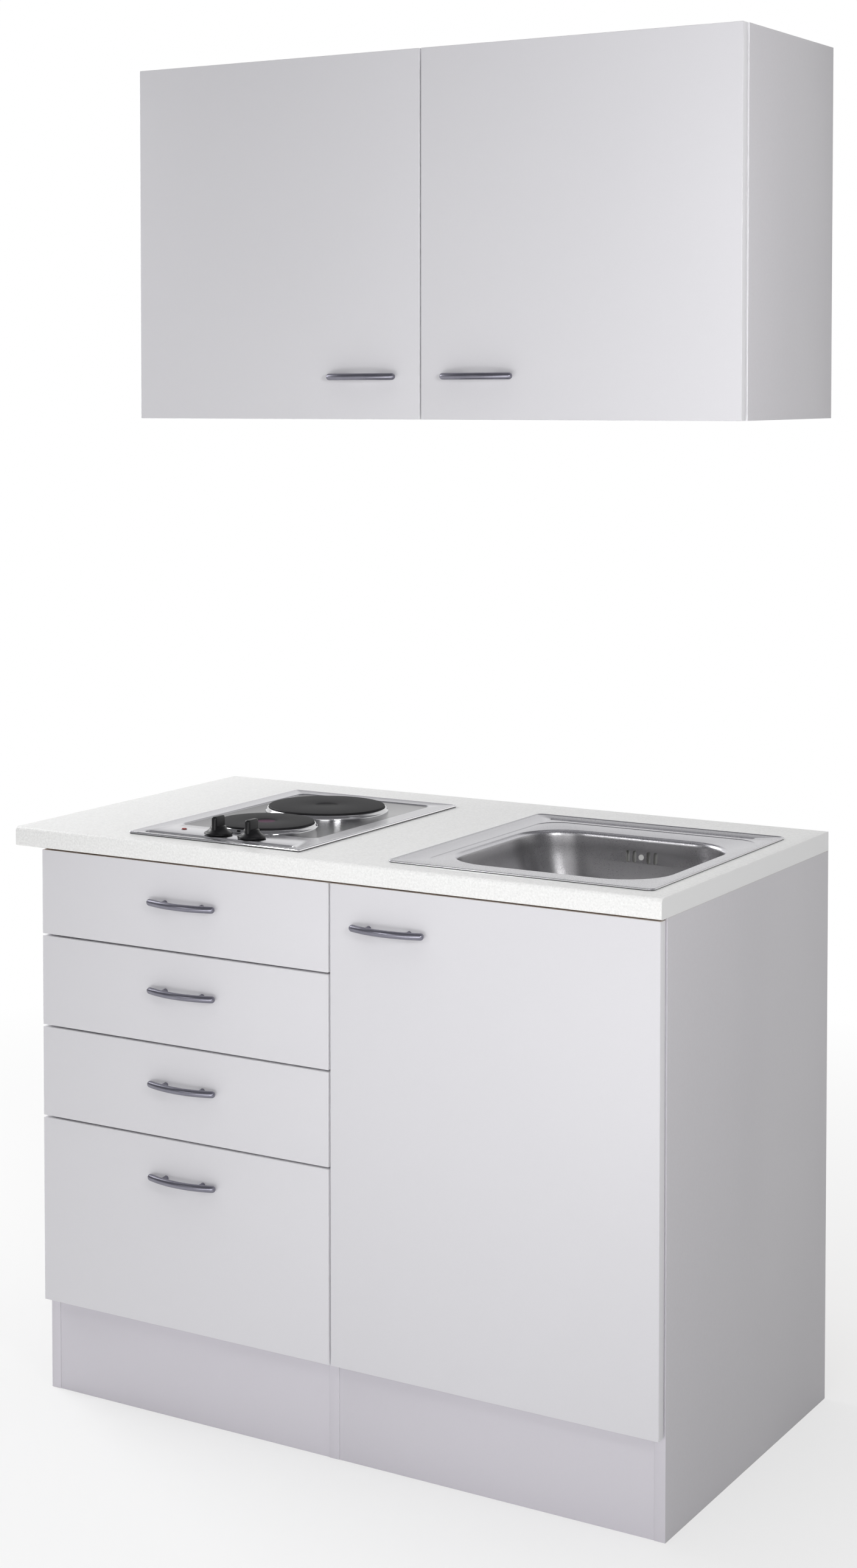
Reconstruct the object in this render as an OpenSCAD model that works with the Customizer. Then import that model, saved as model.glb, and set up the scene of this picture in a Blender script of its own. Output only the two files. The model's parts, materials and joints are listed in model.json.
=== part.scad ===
// Kitchenette: a floor unit with four drawers, a sink cupboard, a worktop with
// an electric two-plate hob and an inset sink, and a two-door wall cabinet.
// Millimetres. X runs to the right, Y to the back, Z up. The origin is on the
// floor, in the middle of the outer box.

/* [Base unit] */
// Width of the base carcass
base_w = 1000; // [980:1:1080]
// Depth of the side panels
panel_d = 581; // [560:1:640]
// Height of the carcass, the underside of the worktop
under_h = 822; // [812:1:860]
// Thickness of the carcass boards
board_t = 16; // [15:0.5:18]
// Height of the plinth
plinth_h = 140; // [110:1:150]
// Setback of the plinth behind the panel edges
plinth_set = 1; // [0.5:0.5:10]
// Distance from the left side to the gap between drawers and door
split_x = 501; // [490:1:520]
// How far the door laps over the centre partition
partition_lap = 2.5; // [1:0.5:6]
// Width of the top rails
rail_w = 30; // [20:1:31]
// Thickness of the back panels
back_t = 3; // [2.5:0.1:5]
// Setback of the back panels from the rear edge
back_set = 10; // [6:1:20]
// Depth of the grooves that hold the back panels
back_groove = 5; // [3:0.5:8]

/* [Fronts] */
// Thickness of doors and drawer fronts
front_t = 16; // [15:0.5:19]
// Gap between neighbouring fronts
front_gap = 3; // [2:0.5:5]
// How far the fronts stay inside the outer side faces
front_inset = 1.5; // [1:0.25:2]
// Gap between the carcass edge and the back of the fronts
door_gap = 3; // [2.8:0.1:5]
// Gap between the worktop and the upper fronts
top_gap = 2; // [1.5:0.5:5]
// Height of the lowest drawer front
low_front_h = 277; // [220:1:285]
// Height of each of the two middle drawer fronts
mid_front_h = 134; // [125:1:138]

/* [Drawers] */
// Outer length of the drawer boxes
drawer_l = 480; // [420:5:500]
// Thickness of the drawer sides
drawer_side_t = 14; // [13:0.5:18]
// Height of the sides of the three shallow drawers
drawer_side_h = 80; // [60:1:84]
// Height of the sides of the deep drawer
deep_side_h = 160; // [100:1:180]
// Height of the drawer box above the lower edge of its front
drawer_lift = 16; // [14:1:20]
// Clearance beside each drawer box
drawer_clear = 1.5; // [1:0.25:3]
// Height of the guide rails
guide_h = 10; // [8:0.5:14]
// How far the guide rails stand out from the boards
guide_w = 9; // [7:0.5:11]
// Height of the guide rails above the lower edge of the box
guide_up = 30; // [20:1:34]
// Running clearance above the guide rails
guide_clear = 0.3; // [0.2:0.05:0.6]
// Thickness of the drawer bottoms
drawer_floor_t = 4; // [3:0.5:6]

/* [Worktop] */
// Thickness of the worktop
top_t = 28; // [25:1:40]
// Overhang of the worktop past the left side
top_over_l = 48; // [10:1:80]
// Radius of the upper front edge
top_round = 7; // [3:0.5:10]
// Radius of the lower front edge
top_round_low = 2; // [1:0.5:4]

/* [Handles] */
// Overall length of a handle
handle_l = 117; // [110:1:150]
// Distance between the two posts
handle_pitch = 64; // [56:1:76]
// Diameter of the bar
handle_bar_d = 10; // [8:0.5:12]
// Diameter of the posts
handle_post_d = 7; // [5:0.5:9]
// Distance from the front to the middle line of the bar at its ends
handle_out = 13; // [11:0.5:18]
// How far the bar bows out in the middle
handle_bow = 6; // [3:0.5:9]
// Distance from the upper edge of a front to the handle
handle_drop = 57; // [45:1:60]
// Distance from the lower edge of a wall door to the handle
handle_rise = 63; // [50:1:90]
// Distance from the edge of a door to the end of its handle
handle_edge = 36; // [20:1:60]
// Sideways offset of the drawer handles from the middle of the fronts
handle_off = 6; // [-10:1:20]

/* [Wall cabinet] */
// Height of the lower edge above the floor
wall_z = 1460; // [1400:5:1500]
// Height of the wall cabinet
wall_h = 540; // [520:1:600]
// Depth of its side panels
wall_d = 320; // [280:1:340]
// Setback of the shelf behind the front edges
shelf_set = 30; // [20:1:60]
// Diameter of the shelf pins
shelf_pin_d = 5; // [4:0.5:6]
// Height of the hanging rail
hang_rail_h = 80; // [60:1:100]
// Diameter of the holes in the hanging rail
hang_hole_d = 6.5; // [5:0.5:9]
// Distance between the holes in the hanging rail
hang_pitch = 800; // [600:10:860]

/* [Hinges] */
// Diameter of the hinge cups
cup_d = 35; // [35:0.5:37]
// Depth of the hinge cups
cup_depth = 11; // [11:0.1:12]
// Distance from the door edge to the hinge cup
cup_edge = 3; // [2.8:0.1:3.2]
// Distance from the door edge to the hinge pin
pin_edge = 6.8; // [6.7:0.05:7]
// Depth of the hinge pin below the inner face of the door
pin_deep = 7.5; // [7.4:0.05:7.6]
// Diameter of the hinge pin
pin_d = 2.4; // [2:0.1:2.6]
// Distance from the ends of a door to its hinges
hinge_end = 90; // [70:1:120]

/* [Hob] */
// Width of the hob
hob_w = 296; // [290:1:310]
// Depth of the hob and of the sink
inset_d = 470; // [462:1:490]
// Distance from the left side panel to the hob
hob_x = 132; // [110:1:150]
// Distance from the panel front edge to the hob and the sink
inset_y = 20; // [18:1:30]
// Height of the hob plate above the worktop
hob_rim = 4; // [3:0.5:6]
// Height of the hob housing below the worktop surface
hob_deep = 45; // [40:1:48]
// Diameter of the front hotplate
plate_front_d = 145; // [140:1:150]
// Diameter of the rear hotplate
plate_rear_d = 180; // [175:1:185]
// Distance from the front of the hob to the middle of the front hotplate
plate_front_y = 146; // [143:1:149]
// Distance from the front of the hob to the middle of the rear hotplate
plate_rear_y = 321; // [317:1:325]
// Diameter of the knobs
knob_d = 42; // [34:1:44]
// Height of the knobs
knob_h = 27; // [22:1:30]
// Distance between the two knobs
knob_pitch = 58; // [48:1:64]
// Distance from the left edge of the hob to the first knob
knob_x = 130; // [110:1:150]
// Distance from the front of the hob to the knobs
knob_y = 44; // [40:1:49]

/* [Sink] */
// Width of the sink
sink_w = 400; // [395:1:415]
// Distance from the right side panel to the sink
sink_right = 30; // [22:1:36]
// Height of the sink rim above the worktop
sink_rim = 3; // [2.5:0.5:4]
// Thickness of the sheet steel
sheet_t = 1; // [0.8:0.1:1.2]
// Width of the bowl
bowl_w = 300; // [270:1:320]
// Front to back size of the bowl
bowl_l = 316; // [290:1:322]
// Depth of the bowl
bowl_deep = 140; // [120:1:160]
// Corner radius of the bowl
bowl_r = 70; // [60:1:90]
// Radius between the walls and the floor of the bowl
bowl_floor_r = 28; // [15:1:35]
// How far the bowl lies to the right of the middle of the sink
bowl_off = 17; // [0:1:20]
// Distance from the front of the sink to the bowl
bowl_y = 54; // [50:1:80]
// Diameter of the waste pipe
waste_d = 40; // [38:1:44]
// Height of the waste outlet above the floor
waste_h = 560; // [540:1:575]

/* [Hidden] */
$fn = 48;
eps = 0.01;
joint_clear = 0.1;                       // between loose boards of one drawer
touch = 0.05;                            // running clearance round a pin

// plan of the base unit
handle_reach = handle_out + handle_bow + handle_bar_d / 2;
total_d = panel_d + door_gap + front_t + handle_reach;
x_left = -(base_w + top_over_l) / 2 + top_over_l;
x_right = x_left + base_w;
y_back = total_d / 2;
y_carcass = y_back - panel_d;            // front edges of the boards
y_door = y_carcass - door_gap;           // backs of the fronts
y_face = y_door - front_t;               // visible faces of the fronts
x_split = x_left + split_x;
part_r = x_split + front_gap / 2 + partition_lap;
part_l = part_r - board_t;
bay_l = x_left + board_t;
bay_r = x_right - board_t;
top_z = under_h + top_t;
floor_z = plinth_h + board_t;
rail_z = under_h - board_t;
back_y = y_back - back_set - back_t;     // front face of the back panels

// fronts, from the lowest drawer up
front_x0 = x_left + front_inset;
front_x1 = x_split - front_gap / 2;
door_x0 = x_split + front_gap / 2;
door_x1 = x_right - front_inset;
z4 = plinth_h;
z3 = z4 + low_front_h + front_gap;
z2 = z3 + mid_front_h + front_gap;
z1 = z2 + mid_front_h + front_gap;
upper_z = under_h - top_gap;
drawer_z = [z1, z2, z3, z4];
drawer_top = [upper_z, z2 + mid_front_h, z3 + mid_front_h, z4 + low_front_h];
side_h = [drawer_side_h, drawer_side_h, drawer_side_h, deep_side_h];
drawer_back_clear = 20;                  // guide rails end short of the boxes

// wall cabinet
wall_top_z = wall_z + wall_h;
wall_y = y_back - wall_d;                // front edges of its boards
wall_door_y = wall_y - door_gap;         // backs of its doors
wall_mid = (x_left + x_right) / 2;
shelf_z = wall_z + wall_h / 2 - board_t / 2;
shelf_clear = 1;                         // beside the loose shelf
pin_in = 8;                              // shelf pin inside the side board
pin_out = 7;                             // shelf pin under the shelf
pin_z = shelf_z - shelf_pin_d / 2;
pin_in_front = 30;                       // shelf pins behind the shelf edge
pin_in_back = 40;                        // and before the back panel
pin_y = [wall_y + shelf_set + pin_in_front, back_y - pin_in_back];

// hob and sink
hob_x0 = x_left + hob_x;
hob_y0 = y_carcass + inset_y;
inset_lap = 13;                          // flange outside the cut-outs
inset_clear = 2;                         // housing inside the cut-outs
hob_sheet = 1;
gland_r = 4;                             // bore for the supply cable
plate_x = hob_x0 + hob_w / 2;
plate_t = 12;
plate_up = 8;                            // top of the hotplates over the hob plate
collar_w = 4;
knob_z = top_z + hob_rim + 0.5;
sink_x1 = x_right - sink_right;
sink_x0 = sink_x1 - sink_w;
sink_y0 = y_carcass + inset_y;
bowl_x = (sink_x0 + sink_x1) / 2 + bowl_off;
bowl_y0 = sink_y0 + bowl_y;
drain_y = bowl_y0 + bowl_l / 2;
ledge_z = top_z + sink_rim - 1.5;        // surface round the bowl
bowl_z = ledge_z - bowl_deep;            // floor of the bowl
drain_r = 28;
flange_r = 40;
strainer_deep = 45;
branch_z = bowl_z - strainer_deep / 2 - 6; // overflow tube into the waste body
tail_r = 16;
pipe_wall = 2;
spigot_l = 60;                           // free end of the waste pipe
trap_r = 34;
trap_cup_h = 30;
trap_out_h = 75;                         // outlet above the foot of the cup
trap_body_top = 105;
trap_z = waste_h - trap_out_h;

// a block between two opposite corners
module block(p, q) {
  translate(p) cube(q - p);
}

// a flat outline with round corners, from circles and squares
module round_rect(w, l, r) {
  translate([r, 0]) square([w - 2 * r, l]);
  translate([0, r]) square([w, l - 2 * r]);
  for (x = [r, w - r], y = [r, l - r]) translate([x, y]) circle(r);
}

// slots in the boards that take the edges of a back panel
module back_slot(x0, x1, z0, z1) {
  block([x0, back_y - joint_clear, z0], [x1, back_y + back_t + joint_clear, z1]);
}

module side_panel(x, inner) {
  difference() {
    block([x, y_carcass, 0], [x + board_t, y_back, under_h]);
    back_slot(inner - back_groove, inner + back_groove, plinth_h, under_h + eps);
  }
}

module base_side_left() {
  color("gainsboro") side_panel(x_left, bay_l);
}

module base_side_right() {
  color("gainsboro") side_panel(bay_r, bay_r);
}

module base_partition() {
  color("gainsboro") difference() {
    block([part_l, y_carcass, 0], [part_r, y_back, under_h]);
    for (x = [part_l, part_r])
      back_slot(x - back_groove, x + back_groove, plinth_h, under_h + eps);
  }
}

module bottom_board(x0, x1) {
  color("gainsboro") block([x0, y_carcass, plinth_h], [x1, back_y, floor_z]);
}

module base_bottom_left() {
  bottom_board(bay_l, part_l);
}

module base_bottom_right() {
  bottom_board(part_r, bay_r);
}

module plinths() {
  y = y_carcass + plinth_set;
  color("lightgray") {
    block([bay_l, y, 0], [part_l, y + board_t, plinth_h]);
    block([part_r, y, 0], [bay_r, y + board_t, plinth_h]);
  }
}

module back_board(x0, x1) {
  g = back_groove - joint_clear;
  block([x0 - g, back_y, plinth_h], [x1 + g, back_y + back_t, under_h]);
}

module base_back_left() {
  color("whitesmoke") back_board(bay_l, part_l);
}

// the rear of the sink cupboard has a hole for the waste pipe
module base_back_right() {
  color("whitesmoke") difference() {
    back_board(part_r, bay_r);
    translate([bowl_x, back_y - eps, waste_h]) rotate([-90, 0, 0])
      cylinder(r = waste_d / 2 + 15, h = back_t + 2 * eps);
  }
}

module top_rails() {
  color("gainsboro") for (x = [[bay_l, part_l], [part_r, bay_r]]) {
    block([x[0], y_carcass, rail_z], [x[1], y_carcass + rail_w, under_h]);
    block([x[0], back_y - 2 * rail_w, rail_z], [x[1], back_y, under_h]);
  }
}

// cross-section with the rounded front edge, drawn in Y and Z
module worktop_profile() {
  upper = [for (a = [90:10:180])
    [y_face + top_round * (1 + cos(a)), top_z - top_round * (1 - sin(a))]];
  lower = [for (a = [180:15:270])
    [y_face + top_round_low * (1 + cos(a)), under_h + top_round_low * (1 + sin(a))]];
  polygon(concat([[y_back, under_h], [y_back, top_z]], upper, lower));
}

module inset_hole(x0, x1) {
  block([x0 + inset_lap, hob_y0 + inset_lap, under_h - 1],
        [x1 - inset_lap, hob_y0 + inset_d - inset_lap, top_z + 1]);
}

module worktop() {
  color("white") difference() {
    translate([x_left - top_over_l, 0, 0]) rotate([90, 0, 90])
      linear_extrude(base_w + top_over_l) worktop_profile();
    inset_hole(hob_x0, hob_x0 + hob_w);
    inset_hole(sink_x0, sink_x1);
  }
}

module wall_side(x, inner) {
  difference() {
    block([x, wall_y, wall_z], [x + board_t, y_back, wall_top_z]);
    back_slot(inner - back_groove, inner + back_groove,
              wall_z + board_t, wall_top_z - board_t);
    for (y = pin_y) translate([inner - pin_in, y, pin_z]) rotate([0, 90, 0])
      cylinder(d = shelf_pin_d, h = 2 * pin_in);
  }
}

module wall_side_left() {
  color("gainsboro") wall_side(x_left, bay_l);
}

module wall_side_right() {
  color("gainsboro") wall_side(bay_r, bay_r);
}

module wall_top() {
  color("gainsboro") block([bay_l, wall_y, wall_top_z - board_t], [bay_r, y_back, wall_top_z]);
}

module wall_bottom() {
  color("gainsboro") block([bay_l, wall_y, wall_z], [bay_r, y_back, wall_z + board_t]);
}

// bolt holes through the hanging rail and the back panel
module hang_holes() {
  for (s = [-1, 1])
    translate([wall_mid + s * hang_pitch / 2, back_y - board_t - 1,
               wall_top_z - board_t - hang_rail_h / 2])
      rotate([-90, 0, 0]) cylinder(d = hang_hole_d, h = board_t + back_t + 2);
}

module wall_back() {
  g = back_groove - joint_clear;
  color("whitesmoke") difference() {
    block([bay_l - g, back_y, wall_z + board_t],
          [bay_r + g, back_y + back_t, wall_top_z - board_t]);
    hang_holes();
  }
}

module wall_shelf() {
  color("gainsboro") block([bay_l + shelf_clear, wall_y + shelf_set, shelf_z],
                           [bay_r - shelf_clear, back_y - 2, shelf_z + board_t]);
}

// each pin is pressed into a side and carries the shelf on its free end
module shelf_pins() {
  color("silver") for (x = [bay_l - pin_in, bay_r - pin_out], y = pin_y)
    translate([x, y, pin_z]) rotate([0, 90, 0]) cylinder(d = shelf_pin_d, h = pin_in + pin_out);
}

module wall_hanging_rail() {
  top = wall_top_z - board_t;
  color("gainsboro") difference() {
    block([bay_l, back_y - board_t, top - hang_rail_h], [bay_r, back_y, top]);
    hang_holes();
  }
}

// a door with two cup recesses near its hinged edge; side is 1 for right
module door(x0, x1, y, z0, z1, side) {
  edge = side > 0 ? x1 : x0;
  difference() {
    block([x0, y - front_t, z0], [x1, y, z1]);
    for (z = [z0 + hinge_end, z1 - hinge_end])
      translate([edge - side * (cup_edge + cup_d / 2), y + eps, z]) rotate([90, 0, 0])
        cylinder(d = cup_d, h = cup_depth + eps);
  }
}

flange_l = 54;                           // cup flange against the door
flange_w = 17;
flange_t = 1.2;
flange_pitch = 45;                       // between its two screw holes
cup_wall = 1;
pin_l = 20;
eye_h = 6.8;                             // height of the arm and its eye
eye_wall = 1.1;
arm_run = 10.7;                          // pin to the middle of the arm
arm_t = 3;
arm_l = 60;
arm_h = 12;
arm_in = 4;                              // arm behind the back of the door
base_l = 38;                             // base plate on the side board
base_h = 36;
base_in = 24;

// hinge cups with the pins across them
module cups(edge, y, zs, side) {
  x = edge - side * (cup_edge + cup_d / 2);
  r = cup_d / 2 - joint_clear;
  color("silver") for (z = zs) difference() {
    union() {
      difference() {
        union() {
          translate([x, y, z]) rotate([90, 0, 0]) cylinder(r = r, h = cup_depth);
          translate([x - flange_w / 2, y, z - flange_l / 2])
            cube([flange_w, flange_t, flange_l]);
        }
        translate([x, y + 2, z]) rotate([90, 0, 0])
          cylinder(r = r - cup_wall, h = cup_depth + 2 - cup_wall);
      }
      translate([edge - side * pin_edge, y - pin_deep, z - pin_l / 2])
        cylinder(d = pin_d, h = pin_l);
    }
    for (s = [-1, 1]) translate([x, y - 1, z + s * flange_pitch / 2]) rotate([-90, 0, 0])
      cylinder(d = 4, h = flange_t + 2);
  }
}

// hinge arms with the eye round the pin, screwed to the side board
module arms(edge, board_x, y, zs, side) {
  px = edge - side * pin_edge;
  ax = px - side * arm_run;
  y0 = y - pin_deep - pin_d / 2;
  color("silver") for (z = zs) difference() {
    union() {
      translate([px, y - pin_deep, z - eye_h / 2])
        cylinder(r = pin_d / 2 + eye_wall, h = eye_h);
      translate([min(px, ax - side * arm_t / 2), y0, z - eye_h / 2])
        cube([arm_run + arm_t / 2, pin_d, eye_h]);
      translate([ax - arm_t / 2, y0, z - eye_h / 2]) cube([arm_t, 14, eye_h]);
      translate([ax - arm_t / 2, y + arm_in, z - arm_h / 2]) cube([arm_t, arm_l, arm_h]);
      // base plate against the board
      translate([min(board_x, ax), y + base_in, z - base_h / 2])
        cube([abs(board_x - ax), base_l, base_h]);
    }
    translate([px, y - pin_deep, z - eye_h]) cylinder(r = pin_d / 2 + touch, h = 2 * eye_h);
  }
}

post_foot = 0.5;                         // wider at the foot of a handle post
cap_step = 0.8;                          // step at the ends of a handle bar

wall_hinge_z = [wall_z + hinge_end, wall_top_z - hinge_end];
sink_hinge_z = [plinth_h + hinge_end, upper_z - hinge_end];
wall_l_x0 = x_left + front_inset;
wall_l_x1 = wall_mid - front_gap / 2;
wall_r_x0 = wall_mid + front_gap / 2;
wall_r_x1 = x_right - front_inset;

module wall_door_left() {
  color("lavender") door(wall_l_x0, wall_l_x1, wall_door_y, wall_z, wall_top_z, -1);
}

module wall_door_right() {
  color("lavender") door(wall_r_x0, wall_r_x1, wall_door_y, wall_z, wall_top_z, 1);
}

module sink_door() {
  color("lavender") door(door_x0, door_x1, y_door, plinth_h, upper_z, 1);
}

module wall_door_left_cups() {
  cups(wall_l_x0, wall_door_y, wall_hinge_z, -1);
}

module wall_door_right_cups() {
  cups(wall_r_x1, wall_door_y, wall_hinge_z, 1);
}

module sink_door_cups() {
  cups(door_x1, y_door, sink_hinge_z, 1);
}

module wall_hinge_arms() {
  arms(wall_l_x0, bay_l, wall_door_y, wall_hinge_z, -1);
  arms(wall_r_x1, bay_r, wall_door_y, wall_hinge_z, 1);
}

module sink_hinge_arms() {
  arms(door_x1, bay_r, y_door, sink_hinge_z, 1);
}

// bow handle: a bent bar with tapered ends on two round posts
module handle(x, y, z) {
  r = handle_bar_d / 2;
  half = handle_l / 2 - r;
  bend = (half * half + handle_bow * handle_bow) / (2 * handle_bow);
  swing = asin(half / bend);
  out = handle_out + handle_bow;         // middle of the bar from the front
  reach = bend + 2 * r;                  // past the outside of the bend
  post_out = out - bend + sqrt(bend * bend - handle_pitch * handle_pitch / 4);
  color("slategray") translate([x, y, z]) {
    translate([0, bend - out, 0]) intersection() {
      rotate_extrude($fn = 180) translate([bend, 0]) circle(r);
      translate([0, 0, -r - 1]) linear_extrude(2 * r + 2)
        polygon([[0, 0], reach * [-sin(swing), -cos(swing)], [0, -reach],
                 reach * [sin(swing), -cos(swing)]]);
    }
    for (s = [-1, 1]) {
      translate([s * half, -handle_out, 0]) rotate([0, s * 90, s * swing])
        cylinder(r1 = r - cap_step, r2 = r / 2, h = r);
      translate([s * handle_pitch / 2, 0, 0]) rotate([90, 0, 0])
        cylinder(r1 = handle_post_d / 2 + post_foot, r2 = handle_post_d / 2, h = post_out);
    }
  }
}

module wall_door_left_handle() {
  handle(wall_l_x1 - handle_edge - handle_l / 2, wall_door_y - front_t, wall_z + handle_rise);
}

module wall_door_right_handle() {
  handle(wall_r_x0 + handle_edge + handle_l / 2, wall_door_y - front_t, wall_z + handle_rise);
}

module sink_door_handle() {
  handle(door_x0 + handle_edge + handle_l / 2, y_face, upper_z - handle_drop);
}

module drawer_front(i) {
  color("lavender") block([front_x0, y_face, drawer_z[i]], [front_x1, y_door, drawer_top[i]]);
}

module drawer_handle(i) {
  handle((front_x0 + front_x1) / 2 + handle_off, y_face, drawer_top[i] - handle_drop);
}

// two grooved sides, a back and a bottom in slots, each a board of its own
module drawer_box(i) {
  z = drawer_z[i] + drawer_lift;
  h = side_h[i];
  ya = y_door;
  yb = y_door + drawer_l;
  xa = bay_l + drawer_clear;
  xb = part_l - drawer_clear;
  t = drawer_side_t;
  slot = 4;                              // depth of the slot for the bottom
  slot_z = z + 10;
  groove_z = z + guide_up;
  gw = guide_w - drawer_clear + 1.5;     // guide groove, 1.5 mm past the rail
  color("white") difference() {
    union() {
      block([xa, ya, z], [xa + t, yb, z + h]);
      block([xb - t, ya, z], [xb, yb, z + h]);
    }
    for (x = [xa + t, xb - t])
      block([x - slot, ya - 1, slot_z - joint_clear],
            [x + slot, yb - t, slot_z + drawer_floor_t + joint_clear]);
    for (x = [xa, xb])
      block([x - gw, ya - 1, groove_z - 1], [x + gw, yb + 1, groove_z + guide_h + guide_clear]);
  }
  color("white") block([xa + t + joint_clear, yb - t, z], [xb - t - joint_clear, yb, z + h]);
  color("whitesmoke") block([xa + t - slot + joint_clear, ya + joint_clear, slot_z],
        [xb - t + slot - joint_clear, yb - t - joint_clear, slot_z + drawer_floor_t]);
}

module drawer1_front() drawer_front(0);
module drawer2_front() drawer_front(1);
module drawer3_front() drawer_front(2);
module drawer4_front() drawer_front(3);
module drawer1_box() drawer_box(0);
module drawer2_box() drawer_box(1);
module drawer3_box() drawer_box(2);
module drawer4_box() drawer_box(3);
module drawer1_handle() drawer_handle(0);
module drawer2_handle() drawer_handle(1);
module drawer3_handle() drawer_handle(2);
module drawer4_handle() drawer_handle(3);

// one fixed rail for each drawer, on the board at x, standing out by w
module guides(x, w) {
  color("white") for (z = drawer_z)
    translate([min(x, x + w), y_carcass + 4, z + drawer_lift + guide_up])
      cube([abs(w), drawer_l - drawer_back_clear, guide_h]);
}

module guides_left() {
  guides(bay_l, guide_w);
}

module guides_right() {
  guides(part_l, -guide_w);
}

// one quarter-round edged body of revolution for a bowl corner
module bowl_corner(r, deep, fr) {
  rotate_extrude() {
    translate([0, -deep]) square([r - fr, deep]);
    translate([0, -deep + fr]) square([r, deep - fr]);
    intersection() {
      translate([r - fr, -deep + fr]) circle(fr);
      translate([0, -deep]) square([r, deep]);
    }
  }
}

// cross-section of the bowl between two corners
module bowl_section(w, deep, fr) {
  translate([fr, -deep]) square([w - 2 * fr, deep]);
  translate([0, -deep + fr]) square([w, deep - fr]);
  for (x = [fr, w - fr]) translate([x, -deep + fr]) circle(fr);
}

// the filled shape of the bowl, grown outwards by g, below its top plane
module bowl_shape(g) {
  w = bowl_w + 2 * g;
  l = bowl_l + 2 * g;
  r = bowl_r + g;
  fr = bowl_floor_r + g;
  deep = bowl_deep + g;
  x0 = bowl_x - w / 2;
  y0 = bowl_y0 - g;
  translate([x0, y0 + l - r, ledge_z]) rotate([90, 0, 0])
    linear_extrude(l - 2 * r) bowl_section(w, deep, fr);
  translate([x0 + r, y0, ledge_z]) rotate([90, 0, 90])
    linear_extrude(w - 2 * r) bowl_section(l, deep, fr);
  for (x = [x0 + r, x0 + w - r], y = [y0 + r, y0 + l - r])
    translate([x, y, ledge_z]) bowl_corner(r, deep, fr);
}

overflow_z = ledge_z - 31;
overflow_y = bowl_y0 + bowl_l;           // inner face of the rear bowl wall
slot_x = [-22, -11, 11, 22];             // overflow slots
slot_w = 6;
slot_l = 17;
line_in = 35;                            // pressed line: from the sides
line_y = 38;                             // from the rear edge
line_w = 12;
line_deep = 0.4;
duct_w = 60;
duct_h = 34;
duct_t = 16;
duct_wall = 3;
tube_r = 8;                              // overflow tube
tube_wall = 2;

module sink() {
  rim = 14;
  color("silver") difference() {
    union() {
      difference() {
        translate([sink_x0, sink_y0, top_z]) linear_extrude(sink_rim)
          round_rect(sink_w, inset_d, 10);
        // surface round the bowl, lower than the rim
        translate([sink_x0 + rim, sink_y0 + rim, ledge_z])
          linear_extrude(sink_rim) round_rect(sink_w - 2 * rim, inset_d - 2 * rim, 8);
        // hollow underside inside the cut-out
        translate([sink_x0 + rim, sink_y0 + rim, top_z - 1])
          linear_extrude(ledge_z - sheet_t - top_z + 1)
            round_rect(sink_w - 2 * rim, inset_d - 2 * rim, 8);
      }
      intersection() {
        bowl_shape(sheet_t);
        block([sink_x0, sink_y0, 0], [sink_x1, sink_y0 + inset_d, ledge_z]);
      }
    }
    bowl_shape(0);
    translate([0, 0, ledge_z - eps]) linear_extrude(1) translate([bowl_x - bowl_w / 2, bowl_y0])
      round_rect(bowl_w, bowl_l, bowl_r);
    translate([bowl_x, drain_y, bowl_z - sheet_t - 1]) cylinder(r = drain_r + 1, h = 10);
    for (x = slot_x) translate([bowl_x + x - slot_w / 2, overflow_y - 5, overflow_z - slot_l / 2])
      cube([slot_w, 10, slot_l]);
    // pressed line along the rear ledge
    translate([sink_x0 + line_in, sink_y0 + inset_d - line_y, ledge_z - line_deep])
      linear_extrude(2) round_rect(sink_w - 2 * line_in, line_w, line_w / 2 - 0.1);
  }
}

// threaded waste body clamped to the floor of the bowl
module strainer_body() {
  color("silver") translate([bowl_x, drain_y, bowl_z]) difference() {
    union() {
      cylinder(r = flange_r, h = 1.5);
      translate([0, 0, -strainer_deep]) cylinder(r = drain_r, h = strainer_deep + 1);
      translate([0, 0, -sheet_t - 8]) cylinder(r = flange_r, h = 8);
      translate([0, 0, -strainer_deep - 20]) cylinder(r = tail_r + 3, h = 21);
    }
    translate([0, 0, -strainer_deep + 3]) cylinder(r = drain_r - 2, h = strainer_deep + 3);
    translate([0, 0, -strainer_deep - 21]) cylinder(r = tail_r, h = 30);
    // branch for the overflow duct
    translate([0, drain_r - 6, branch_z - bowl_z]) rotate([-90, 0, 0])
      cylinder(r = tube_r - 1, h = 12);
  }
}

// lift-out basket with its knob
module strainer_basket() {
  r = drain_r - 2.3;
  color("silver") translate([bowl_x, drain_y, bowl_z]) {
    difference() {
      translate([0, 0, -25]) cylinder(r = r, h = 26);
      translate([0, 0, -24]) cylinder(r = r - 1, h = 30);
      for (k = [0:5]) rotate([0, 0, 60 * k]) translate([15, 0, -26]) cylinder(r = 3, h = 4);
    }
    translate([0, 0, -24.5]) cylinder(r = 3, h = 22);
    translate([0, 0, -4]) cylinder(r = 8, h = 5);
  }
}

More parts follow.
